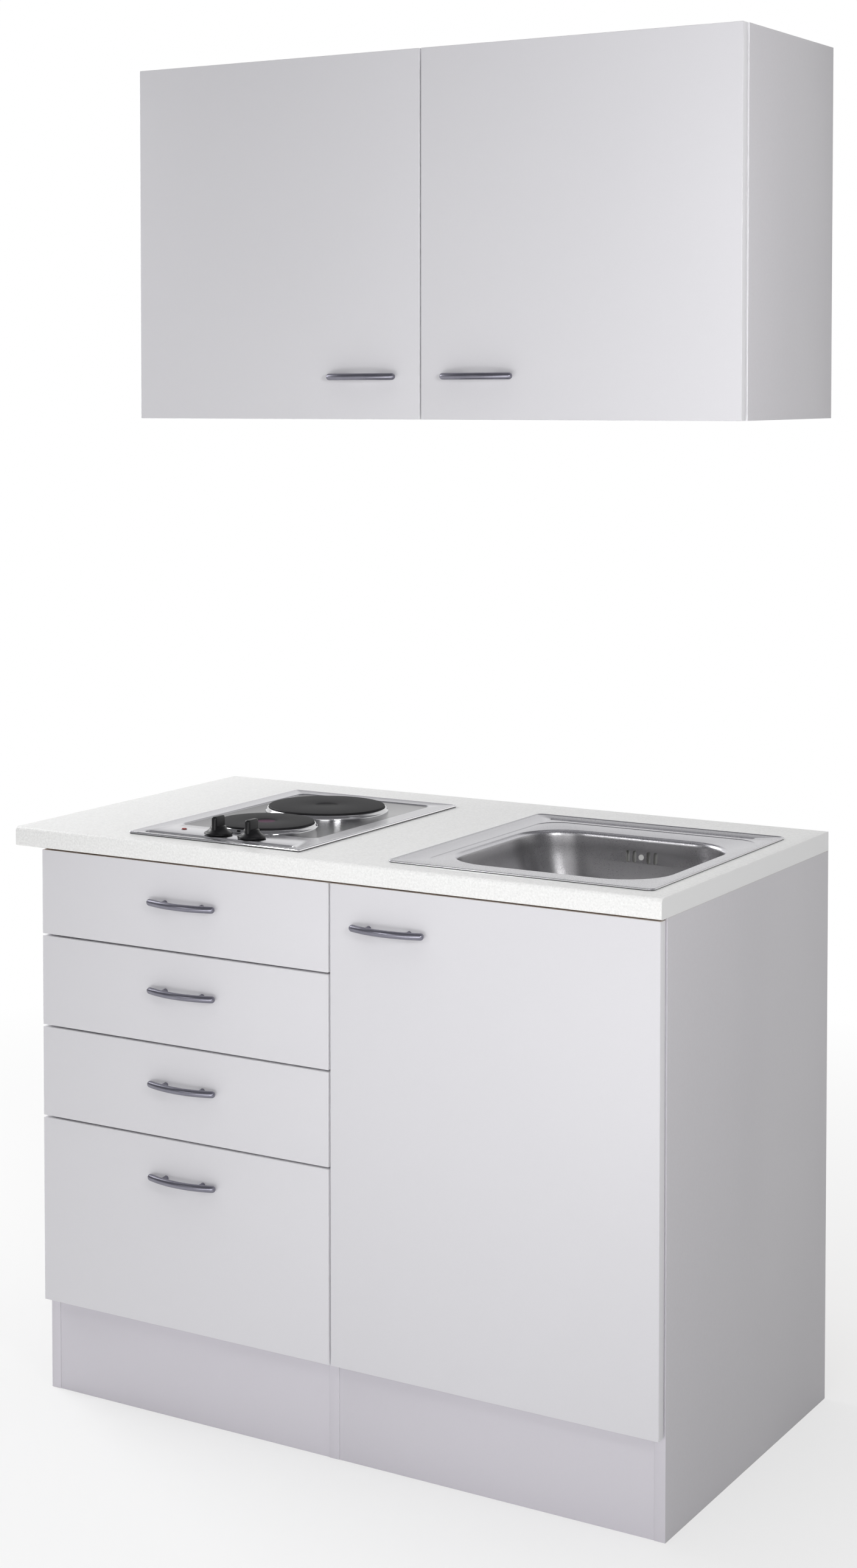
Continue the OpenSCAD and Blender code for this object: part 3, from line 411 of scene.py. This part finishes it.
def joined(bm, loops):
    """Bridges each loop of edges to the next; the first and the last of them."""
    for one, other in zip(loops, loops[1:]):
        bmesh.ops.bridge_loops(bm, edges=one + other)
    return loops[0], loops[-1]


def stepped(bm, box, profile, steps=8):
    """Outlines of (inset, radius, height) joined one to the next; the first and the last of them."""
    return joined(bm, [outline(bm, box, *point, steps) for point in profile])


def circle(bm, x, y, z, radius, segments):
    """The edges of a level circle."""
    made = bmesh.ops.create_circle(bm, cap_ends=False, radius=radius, segments=segments,
                                   matrix=Matrix.Translation((x, y, z)))
    return list({e for v in made["verts"] for e in v.link_edges})


def turned(bm, profile, x, y, z=0.0, segments=96):
    """A profile of (radius, height) points spun round the upright axis at x, y."""
    verts = [bm.verts.new((x + r, y, z + h)) for r, h in profile]
    edges = [bm.edges.new(pair) for pair in zip(verts, verts[1:])]
    bmesh.ops.spin(bm, geom=verts + edges, cent=(x, y, 0), axis=(0, 0, 1), angle=2 * pi,
                   steps=segments, use_merge=True, use_duplicate=False)
    bmesh.ops.remove_doubles(bm, verts=bm.verts, dist=0.002)
    bmesh.ops.recalc_face_normals(bm, faces=bm.faces)


def face_up(bm, level):
    """Turns an open sheet so that its flat face nearest to level looks up."""
    bmesh.ops.recalc_face_normals(bm, faces=bm.faces)
    flat = min((f for f in bm.faces if abs(f.normal.z) > 0.99),
               key=lambda f: abs(f.calc_center_median().z - level))
    if flat.normal.z < 0:
        bmesh.ops.reverse_faces(bm, faces=bm.faces)


def pressed(bm, sheet, cutter=None):
    """Gives an open sheet its thickness, and takes the space of cutter out of it."""
    pair = []
    for part in (bm, cutter) if cutter else (bm,):
        mesh = bpy.data.meshes.new("pressing")
        part.to_mesh(mesh)
        part.free()
        obj = bpy.data.objects.new("pressing", mesh)
        bpy.context.scene.collection.objects.link(obj)
        pair.append(obj)
    thick = pair[0].modifiers.new("thick", "SOLIDIFY")
    thick.thickness, thick.offset = sheet, -1
    if cutter:
        cut = pair[0].modifiers.new("cut", "BOOLEAN")
        cut.object, cut.solver = pair[1], "EXACT"
    shape = pair[0].evaluated_get(bpy.context.evaluated_depsgraph_get())
    out = bmesh.new()
    out.from_mesh(shape.to_mesh())
    for obj in pair:
        mesh = obj.data
        bpy.data.objects.remove(obj)
        bpy.data.meshes.remove(mesh)
    return out


def paint(bm, rule):
    """rule gives the index of the material for a face, or None to leave it."""
    for face in bm.faces:
        index = rule(face)
        if index is not None:
            face.material_index = index


def board(node, mats, bevel=0.5, rule=None, segments=2):
    """A CAD board with its long edges eased."""
    bm = cad_copy(node)
    round_edges(bm, convex_edges(bm, 60, 6.0), bevel, segments)
    if rule:
        paint(bm, rule)
    finished(bm, node + "_board", node, mats)


def keep_node(node, mat):
    """A CAD node whose shape is right keeps it and gets its finish."""
    NODES[node].data.materials.clear()
    NODES[node].data.materials.append(mat)


def node_box(node):
    """The corners of a CAD node's box, in millimetres."""
    lo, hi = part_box(node)
    return [v / MM for v in lo], [v / MM for v in hi]


def middle_of(node):
    """The middle of a CAD node in plan."""
    lo, hi = node_box(node)
    return (lo[0] + hi[0]) / 2, (lo[1] + hi[1]) / 2


# ---------------------------------------------------------------- carcass

_, (_, Y_BACK, CARCASS_TOP) = node_box("base_side_right")


def carcass_rule(face):
    """Front edges carry a strip, rear and upright cut edges show the board."""
    n, c = face.normal, face.calc_center_median()
    if n.y < -0.5:
        return 1
    if n.y > 0.5 and c.y > Y_BACK - 1:
        return 2
    if abs(n.z) > 0.5 and (c.z < 1 or abs(c.z - CARCASS_TOP) < 1):
        return 2
    return 0


for node in ("base_side_left", "base_side_right"):
    board(node, (SIDE, PLINTH, CHIP), 0.6, carcass_rule)
board("base_partition", (INNER, PLINTH, CHIP), 0.5, carcass_rule)
for node in ("base_bottom_left", "base_bottom_right", "top_rails"):
    board(node, (INNER, STRIP, CHIP), 0.5, carcass_rule)
board("plinths", (PLINTH,), 0.5)


def wall_rule(face):
    """As on the base unit, with coated ends."""
    n, c = face.normal, face.calc_center_median()
    if n.y < -0.5:
        return 1
    if n.y > 0.5 and c.y > Y_BACK - 1:
        return 2
    return 0


for node in ("wall_side_left", "wall_side_right"):
    board(node, (SIDE, STRIP, CHIP), 0.6, wall_rule)
for node in ("wall_top", "wall_bottom", "wall_shelf", "wall_hanging_rail"):
    board(node, (INNER, STRIP, CHIP), 0.5, wall_rule)
for node in ("base_back_left", "base_back_right", "wall_back"):
    keep_node(node, HARD)


# ---------------------------------------------------------------- worktop

def worktop_rule(face):
    """The rear and the underside show the board, and the ends carry a strip."""
    n = face.normal
    if n.y > 0.9 or n.z < -0.9:
        return 1
    if abs(n.x) > 0.9:
        return 2
    return 0


_, (TOP_X, _, TOP_Z) = node_box("worktop")


def upper_end(edge):
    """Whether the edge runs along the top of one of the worktop's ends."""
    a, b = (v.co for v in edge.verts)
    return abs(a.x - b.x) < 0.1 and min(a.z, b.z) > TOP_Z - 1 and abs(a.x) > TOP_X - 4


top = cad_copy("worktop")
round_edges(top, [e for e in convex_edges(top, 60, 20.0) if upper_end(e)], 0.8)
paint(top, worktop_rule)
finished(top, "worktop_slab", "worktop", (LAMINATE, CHIP, LAMINATE_EDGE), smooth_deg=25)


# ---------------------------------------------------------------- fronts

def front_rule(face):
    """The four narrow sides of a front carry a strip."""
    return 1 if abs(face.normal.y) < 0.5 else 0


for node in ("wall_door_left", "wall_door_right", "sink_door",
             "drawer1_front", "drawer2_front", "drawer3_front", "drawer4_front"):
    board(node, (FRONT, STRIP), 0.9, front_rule, 3)


# ---------------------------------------------------------------- handles

HANDLE = dict(length=117, bar=5.0, out=8.5, bow=10.5, pitch=64, post=3.5, foot=4.0)
ROUND = 24          # corners of a bar, a post or a foot
FOOT_H = 0.8


def ring(bm, radius, segments, matrix):
    """A flat disc turned into place; its face."""
    made = bmesh.ops.create_circle(bm, cap_ends=True, radius=radius, segments=segments, matrix=matrix)
    verts = made["verts"]
    return next(f for f in bm.faces if len(f.verts) == len(verts) and all(v in f.verts for v in verts))


def dome(bm, face, centre, axis, radius, steps=5):
    """Closes a round end with a half ball: the face is moved out and shrunk in steps."""
    for k in range(1, steps):
        turn = pi / 2 * k / steps
        made = bmesh.ops.extrude_discrete_faces(bm, faces=[face])
        face = made["faces"][0]
        here = face.calc_center_median()
        goal = centre + axis * (radius * sin(turn))
        size = cos(turn) / cos(pi / 2 * (k - 1) / steps)
        bmesh.ops.translate(bm, vec=goal - here, verts=face.verts)
        bmesh.ops.scale(bm, vec=(size,) * 3, space=Matrix.Translation(-goal), verts=face.verts)


def handle(node, x, y, z):
    """Bow handle: a bent round bar with ball ends on two thin posts with small feet."""
    r, out, bow = HANDLE["bar"], HANDLE["out"], HANDLE["bow"]
    half = HANDLE["length"] / 2 - r
    bend = (half * half + bow * bow) / (2 * bow)
    swing = asin(half / bend)
    centre = Vector((x, y - out - bow + bend, z))
    bm = bmesh.new()
    start = centre + Vector((-sin(swing) * bend, -cos(swing) * bend, 0))
    along = Vector((cos(swing), -sin(swing), 0))
    facing = along.to_track_quat("Z", "Y").to_matrix().to_4x4()
    disc = ring(bm, r, ROUND, Matrix.Translation(start) @ facing)
    bmesh.ops.spin(bm, geom=[disc], cent=centre, axis=(0, 0, 1), angle=2 * swing,
                   steps=28, use_duplicate=False, space=Matrix.Identity(4))
    ends = [f for f in bm.faces if len(f.verts) == ROUND]
    for face in ends:
        at = face.calc_center_median()
        side = 1 if at.x > x else -1
        axis = Vector((side * cos(swing), sin(swing), 0))
        dome(bm, face, at, axis, r)
    bmesh.ops.recalc_face_normals(bm, faces=bm.faces)
    bar_out = out + bow - bend + sqrt(bend * bend - (HANDLE["pitch"] / 2) ** 2)
    for side in (-1, 1):
        foot = Vector((x + side * HANDLE["pitch"] / 2, y, z))
        lift = Matrix.Translation(foot) @ Matrix.Rotation(pi / 2, 4, "X")
        face = ring(bm, HANDLE["foot"], ROUND, lift)
        if face.normal.y > 0:
            face.normal_flip()
        for radius, height in ((HANDLE["foot"], FOOT_H), (HANDLE["post"], FOOT_H + 0.6),
                               (HANDLE["post"], bar_out)):
            made = bmesh.ops.extrude_discrete_faces(bm, faces=[face])
            face = made["faces"][0]
            here = face.calc_center_median()
            now = (face.verts[0].co - here).length
            goal = Vector((foot.x, y - height, z))
            bmesh.ops.translate(bm, vec=goal - here, verts=face.verts)
            bmesh.ops.scale(bm, vec=(radius / now,) * 3, space=Matrix.Translation(-goal),
                            verts=face.verts)
    finished(bm, node + "_bow", node, (GUNMETAL,), smooth_deg=50)


for node in [n for n in NODES if n.endswith("_handle")]:
    lo, hi = node_box(node)
    handle(node, (lo[0] + hi[0]) / 2, hi[1], (lo[2] + hi[2]) / 2)


# ---------------------------------------------------------------- sink

BOWL_W, BOWL_L, BOWL_FLOOR_R = 300, 316, 28
DRAIN_R = 29
SHEET = 0.9
SEAL_IN, SEAL_END = 0.95, 2.2                       # from the rim's edge
SINK_CHANNEL = dict(side=35, rear=38, width=12)
SLOTS_AT = (-22, -11, 11, 22)                       # overflow slots, from the middle of the bowl
SLOT_HALF_W, SLOT_HALF_L, SLOT_DOWN = 3, 8.5, 31    # SLOT_DOWN is from the ledge to their middle

# each outline of the bowl: wider to the left (and a third of that to the front and the right), drawn in,
# corner radius, below the lowered ledge
BOWL_WALLS = [
    (12, -5, 78, 0), (12, -4, 77, 0.3), (12, -2.6, 76, 1.2), (12, -1.3, 75, 2.8), (12, -0.4, 74, 5),
    (11.6, 0, 73.6, 8), (10, 0.2, 72, 22), (7, 0.8, 71, 40), (3, 4, 68, 70), (0, 9, 64, 105)]
BOWL_FOOT_IN = 10                                   # drawn in where the floor's curve starts


def painted_shade_seal(bm, plan, radius, low, high):
    """A sealing strip under a rim, drawn in from its edge, in matt black: painted shade for the shadow line
    under the rim.
    """
    before = set(bm.faces)
    stepped(bm, plan, ((SEAL_IN, radius - 1, high), (SEAL_IN, radius - 1, low),
                       (SEAL_END, radius - SEAL_END, low)))
    # the strip's faces get the matt black: painted shade
    for face in set(bm.faces) - before:
        face.material_index = 1


def highlight_edge_rule(plan, index):
    """The upright outer face of a rim, which gets the bright steel: a painted highlight along the rolled
    edge.
    """
    x0, y0, x1, y1 = plan

    def rule(face):
        c = face.calc_center_median()
        outer = min(c.x - x0, x1 - c.x, c.y - y0, y1 - c.y) < 0.2
        return index if outer and abs(face.normal.z) < 0.3 else None
    return rule


def sink_basin():
    """Pressed basin: rolled rim, ledge with a crease and a channel, bowl with a soft lip."""
    lo, hi = node_box("sink")
    x, y = middle_of("strainer_body")
    top, ledge, low = hi[2], hi[2] - 1.5, hi[2] - 2.3
    floor_z = lo[2] + 1
    plan = (lo[0], lo[1], hi[0], hi[1])
    bm = bmesh.new()
    _, rim = stepped(bm, plan, (
        (0, 10, top - 1.9), (0, 10, top - 0.6), (0.3, 9.8, top - 0.3), (0.8, 9.4, top), (2.2, 8.2, top),
        (3.0, 7.6, top - 0.5), (4.2, 7, top - 1.0), (12.6, 8, top - 1.1), (13.6, 8, ledge)))
    painted_shade_seal(bm, plan, 10, top - 3, top - 1.4)
    side, rear, width = SINK_CHANNEL["side"], SINK_CHANNEL["rear"], SINK_CHANNEL["width"]
    channel = (lo[0] + side, hi[1] - rear, hi[0] - side, hi[1] - rear + width)
    edge, bottom = stepped(bm, channel, (
        (0, 5.9, ledge), (0.7, 5.2, ledge - 0.4), (1.6, 4.3, ledge - 1.8), (2.6, 3.3, ledge - 2.7),
        (4.2, 1.7, ledge - 3.0)))
    bmesh.ops.edgeloop_fill(bm, edges=bottom)
    step = (lo[0] + 38, lo[1] + 24, hi[0] - 15, hi[1] - 46)
    crease, inner = stepped(bm, step, ((0, 40, ledge), (0.5, 39.5, ledge - 0.1), (1.3, 38.7, low + 0.1),
                                       (1.9, 38.1, low)))
    bmesh.ops.triangle_fill(bm, edges=rim + edge + crease, use_beauty=True, normal=(0, 0, 1))
    walls = list(BOWL_WALLS)
    depth = low - floor_z
    for k in range(9):
        turn = pi / 2 * k / 8
        draw = BOWL_FOOT_IN + BOWL_FLOOR_R * (1 - cos(turn))
        walls.append((0, draw, 74 - draw, depth - BOWL_FLOOR_R * (1 - sin(turn))))
    loops = []
    for wide, inset, radius, down in walls:
        box = (x - BOWL_W / 2 - wide, y - BOWL_L / 2 - wide / 3,
               x + BOWL_W / 2 + wide / 3, y + BOWL_L / 2)
        loops.append(outline(bm, box, inset, radius, low - down))
    mouth, foot = joined(bm, loops)
    bmesh.ops.bridge_loops(bm, edges=inner + mouth)
    drain = circle(bm, x, y, floor_z, DRAIN_R, 36)
    bmesh.ops.bridge_loops(bm, edges=foot + drain)
    face_up(bm, ledge)
    slots = bmesh.new()
    for along in SLOTS_AT:
        box = (x + along - SLOT_HALF_W, -SLOT_HALF_L, x + along + SLOT_HALF_W, SLOT_HALF_L)
        made = outline(slots, box, 0, SLOT_HALF_W - 0.1, 0, 5)
        face = bmesh.ops.edgeloop_fill(slots, edges=made)["faces"][0]
        grown = bmesh.ops.extrude_face_region(slots, geom=[face])
        bmesh.ops.translate(slots, vec=(0, 0, 14),
                            verts=[v for v in grown["geom"] if isinstance(v, bmesh.types.BMVert)])
    bmesh.ops.rotate(slots, cent=(0, 0, 0), matrix=Matrix.Rotation(pi / 2, 3, "X"), verts=slots.verts)
    bmesh.ops.translate(slots, vec=(0, y + BOWL_L / 2 + 7, ledge - SLOT_DOWN), verts=slots.verts)
    bmesh.ops.recalc_face_normals(slots, faces=slots.faces)
    basin = pressed(bm, SHEET, slots)
    # the rim's outer faces get the bright steel: painted highlight
    paint(basin, highlight_edge_rule(plan, 2))
    # faces deep in the bowl get the darker steel: painted shade
    paint(basin, lambda face: 3 if face.calc_center_median().z < low - 5 else None)
    finished(basin, "sink_basin", "sink", (SINK_STEEL, MATT_BLACK_AND_PAINTED_SHADE, ROLLED_EDGE_HIGHLIGHT, SHADED_BOWL_STEEL),
             smooth_deg=40)


sink_basin()


# ---------------------------------------------------------------- hob

HOB_CHANNEL = dict(side=20, front=8, width=16)
TRAY_SIDE, TRAY_FRONT = 28, 90


def hob_plate():
    """Pressed plate: rolled edge, channel before the knobs and a sunk tray."""
    lo, hi = node_box("hob_top")
    top = hi[2]
    flat = top - 0.4
    plan = (lo[0], lo[1], hi[0], hi[1])
    bm = bmesh.new()
    _, rim = stepped(bm, plan, (
        (0, 3, top - 2.6), (0, 3, top - 0.9), (0.3, 3, top - 0.5), (0.8, 3, top - 0.1), (1.4, 3, top),
        (3.2, 3, top), (4.0, 3, flat)), 4)
    painted_shade_seal(bm, plan, 3.2, top - 4, top - 2)
    side, front, width = HOB_CHANNEL["side"], HOB_CHANNEL["front"], HOB_CHANNEL["width"]
    channel = (lo[0] + side, lo[1] + front, hi[0] - side, lo[1] + front + width)
    edge, bottom = stepped(bm, channel, (
        (0, 6, flat), (0.6, 5.6, flat - 0.3), (1.6, 4.8, flat - 1.6), (2.6, 4, flat - 2.0)), 4)
    bmesh.ops.edgeloop_fill(bm, edges=bottom)
    tray = (lo[0] + TRAY_SIDE, lo[1] + TRAY_FRONT, hi[0] - TRAY_SIDE, hi[1] - TRAY_SIDE)
    brink, floor = stepped(bm, tray, (
        (0, 14, flat), (0.7, 13.4, flat - 0.25), (1.9, 12.4, flat - 1.35), (2.7, 11.8, top - 2)), 6)
    bmesh.ops.triangle_fill(bm, edges=rim + edge + brink, use_beauty=True, normal=(0, 0, 1))
    sunk = bmesh.ops.edgeloop_fill(bm, edges=floor)["faces"]
    face_up(bm, flat)
    # the sunk tray gets the darkened steel: painted dark reflection
    for face in sunk:
        face.material_index = 2
    plate = pressed(bm, SHEET)
    # the rim's outer faces get the bright steel: painted highlight
    paint(plate, highlight_edge_rule(plan, 3))
    finished(plate, "hob_plate", "hob_top", (HOB_STEEL, MATT_BLACK_AND_PAINTED_SHADE, DARKENED_TRAY_STEEL, ROLLED_EDGE_HIGHLIGHT),
             smooth_deg=40)


hob_plate()


HOB_TOP = node_box("hob_top")[1][2]
PLATE_R = {"hotplate_front": 72.5, "hotplate_rear": 90}

for node, r in PLATE_R.items():
    x, y = middle_of(node)
    bm = bmesh.new()
    turned(bm, ((0, 7.0), (16.5, 7.0), (18.2, 7.8), (19.2, 8), (r - 2.6, 8), (r - 1.1, 7.7),
                (r - 0.3, 6.9), (r, 5.8), (r, 1.0), (r - 2, -2), (r - 8, -4), (15, -4), (15, -14),
                (0, -14)), x, y, HOB_TOP, 128)
    iron = material(node + "_iron", cast_plate(x, y, node == "hotplate_front"))
    finished(bm, node + "_casting", node, (iron,))

bm = bmesh.new()
for node, r in PLATE_R.items():
    turned(bm, ((r + 0.2, -2.0), (r + 0.2, 4.4), (r + 0.5, 4.9), (r + 1.2, 5.0), (r + 1.9, 4.7),
                (r + 2.4, 3.9), (r + 3.4, 1.4), (r + 4.0, 0.7), (r + 4.7, 0.4), (r + 5.0, -0.2),
                (r + 5.0, -2.0), (r + 0.2, -2.0)), *middle_of(node), HOB_TOP, 128)
finished(bm, "hotplate_trims", "hotplate_collars", (POLISHED,), smooth_deg=45)


def knob(node):
    """Flared skirt with an upright grip across it."""
    lo, hi = node_box(node)
    (x, y), r = middle_of(node), (hi[0] - lo[0]) / 2
    bm = bmesh.new()
    turned(bm, ((0, 1.5), (r - 3, 1.5), (r - 2, 0), (r - 0.8, 0), (r - 0.1, 0.8), (r, 2), (r - 0.5, 3),
                (r - 1.8, 3.8), (r - 4.5, 5.2), (r - 7, 7.2), (r - 8.8, 9.6), (r - 9.6, 12), (r - 10.6, 12.8),
                (0, 12.8)), x, y, lo[2], 64)
    grip = (x - 4.5, y - 13.5, x + 4.5, y + 13.5)
    base, crown = stepped(bm, grip, ((-0.6, 4.4, lo[2] + 5), (-0.2, 4.3, lo[2] + 12), (0, 4, hi[2] - 3),
                                     (0.5, 3.6, hi[2] - 1.2), (1.3, 3, hi[2] - 0.4), (2.4, 2, hi[2])), 6)
    bmesh.ops.edgeloop_fill(bm, edges=base)
    bmesh.ops.edgeloop_fill(bm, edges=crown)
    bmesh.ops.recalc_face_normals(bm, faces=bm.faces)
    finished(bm, node + "_grip", node, (BLACK,), smooth_deg=40)


knob("knob_front")
knob("knob_rear")

bm = bmesh.new()
turned(bm, ((0, -8), (3, -8), (3, 0.1), (4.4, 0.1), (4.5, 0.5), (4.0, 0.9), (3.4, 1.0), (3.1, 1.2),
            (2, 1.42), (0, 1.5)), *middle_of("pilot_lamp"), HOB_TOP, 32)
finished(bm, "pilot_lens", "pilot_lamp", (RED,), smooth_deg=45)


# ---------------------------------------------------------------- the rest of the CAD nodes

for node in ("drawer1_box", "drawer2_box", "drawer3_box", "drawer4_box"):
    board(node, (INNER,), 0.6)
for node in ("guides_left", "guides_right"):
    board(node, (WHITE,), 0.8)
for mat, kept in (
        (NICKEL, ("shelf_pins", "wall_door_left_cups", "wall_door_right_cups", "sink_door_cups",
                  "wall_hinge_arms", "sink_hinge_arms")),
        (SINK_STEEL, ("strainer_body", "strainer_basket")),
        (WHITE, ("overflow_duct", "bottle_trap", "waste_pipe", "hob_switches")),
        (SHEET_STEEL, ("hob_body", "fixing_clips")),
        (MATT_BLACK_AND_PAINTED_SHADE, ("hob_terminal",))):
    for node in kept:
        keep_node(node, mat)


# ---------------------------------------------------------------- floor and world

FLOOR_HALF = 20
FADE = (0.5, 2.6)                   # metres from the middle, where the floor turns white
FLOOR_WHITE = 0.55                  # share of white in the floor near the unit
BACKDROP_Y = (0.05, 0.45)           # directions in which shiny surfaces see the white backdrop
BACKDROP_TOP = (0.42, 0.62)         # heights over which it ends
CEILING = (0.5, 0.9)                # heights over which the bright ceiling starts
DARK_ROOM, DIM, ALL_WHITE = (0.20, 0.20, 0.21), (0.06, 0.06, 0.06), (1.0, 1.0, 1.0)


def rays(f, *kinds):
    """1 for rays of the kinds named."""
    path = f.tree.nodes.new("ShaderNodeLightPath")
    return sum(Value(f, path.outputs[kind]) for kind in kinds).between(0.0, 1.0)


floor_mesh = bpy.data.meshes.new("studio_floor")
floor_bm = bmesh.new()
bmesh.ops.create_grid(floor_bm, x_segments=2, y_segments=2, size=FLOOR_HALF)
floor_bm.to_mesh(floor_mesh)
floor_bm.free()
floor = bpy.data.objects.new("studio_floor", floor_mesh)
bpy.context.scene.collection.objects.link(floor)
paper = bpy.data.materials.new("studio_floor")
f = Finish(paper)
ground = f.place()
distance = f.add("ShaderNodeVectorMath", {"operation": "LENGTH"}, ground, out="Value")
white = distance.between(*FADE) * (1 - FLOOR_WHITE) + FLOOR_WHITE
seen = rays(f, "Is Camera Ray", "Is Glossy Ray", "Is Transmission Ray")
near = f.add("ShaderNodeBsdfPrincipled", None, Base_Color=(0.90, 0.90, 0.90), Roughness=0.9,
             Specular_IOR_Level=0.0)
far = f.add("ShaderNodeEmission", None, ALL_WHITE, 1.0)
ground_look = f.add("ShaderNodeMixShader", None, white * seen, near, far)
f.add("ShaderNodeOutputMaterial", None, ground_look)
floor_mesh.materials.append(paper)

world = bpy.data.worlds.new("studio")
bpy.context.scene.world = world
sky = Finish(world)
way = sky.add("ShaderNodeTexCoord", None, out="Generated")
backdrop = sky.axis(way, 1).between(*BACKDROP_Y) * (1 - sky.axis(way, 2).between(*BACKDROP_TOP))
room = sky.mix(backdrop, DARK_ROOM, ALL_WHITE)
shiny = rays(sky, "Is Glossy Ray", "Is Transmission Ray")
ceiling = sky.mix(sky.axis(way, 2).between(*CEILING), DIM, ALL_WHITE)
light = sky.mix(shiny, ceiling, room)
shown = sky.mix(rays(sky, "Is Camera Ray"), light, ALL_WHITE)
sky.add("ShaderNodeOutputWorld", None, sky.add("ShaderNodeBackground", None, shown, 1.0))

bpy.context.scene.view_settings.view_transform = "Standard"
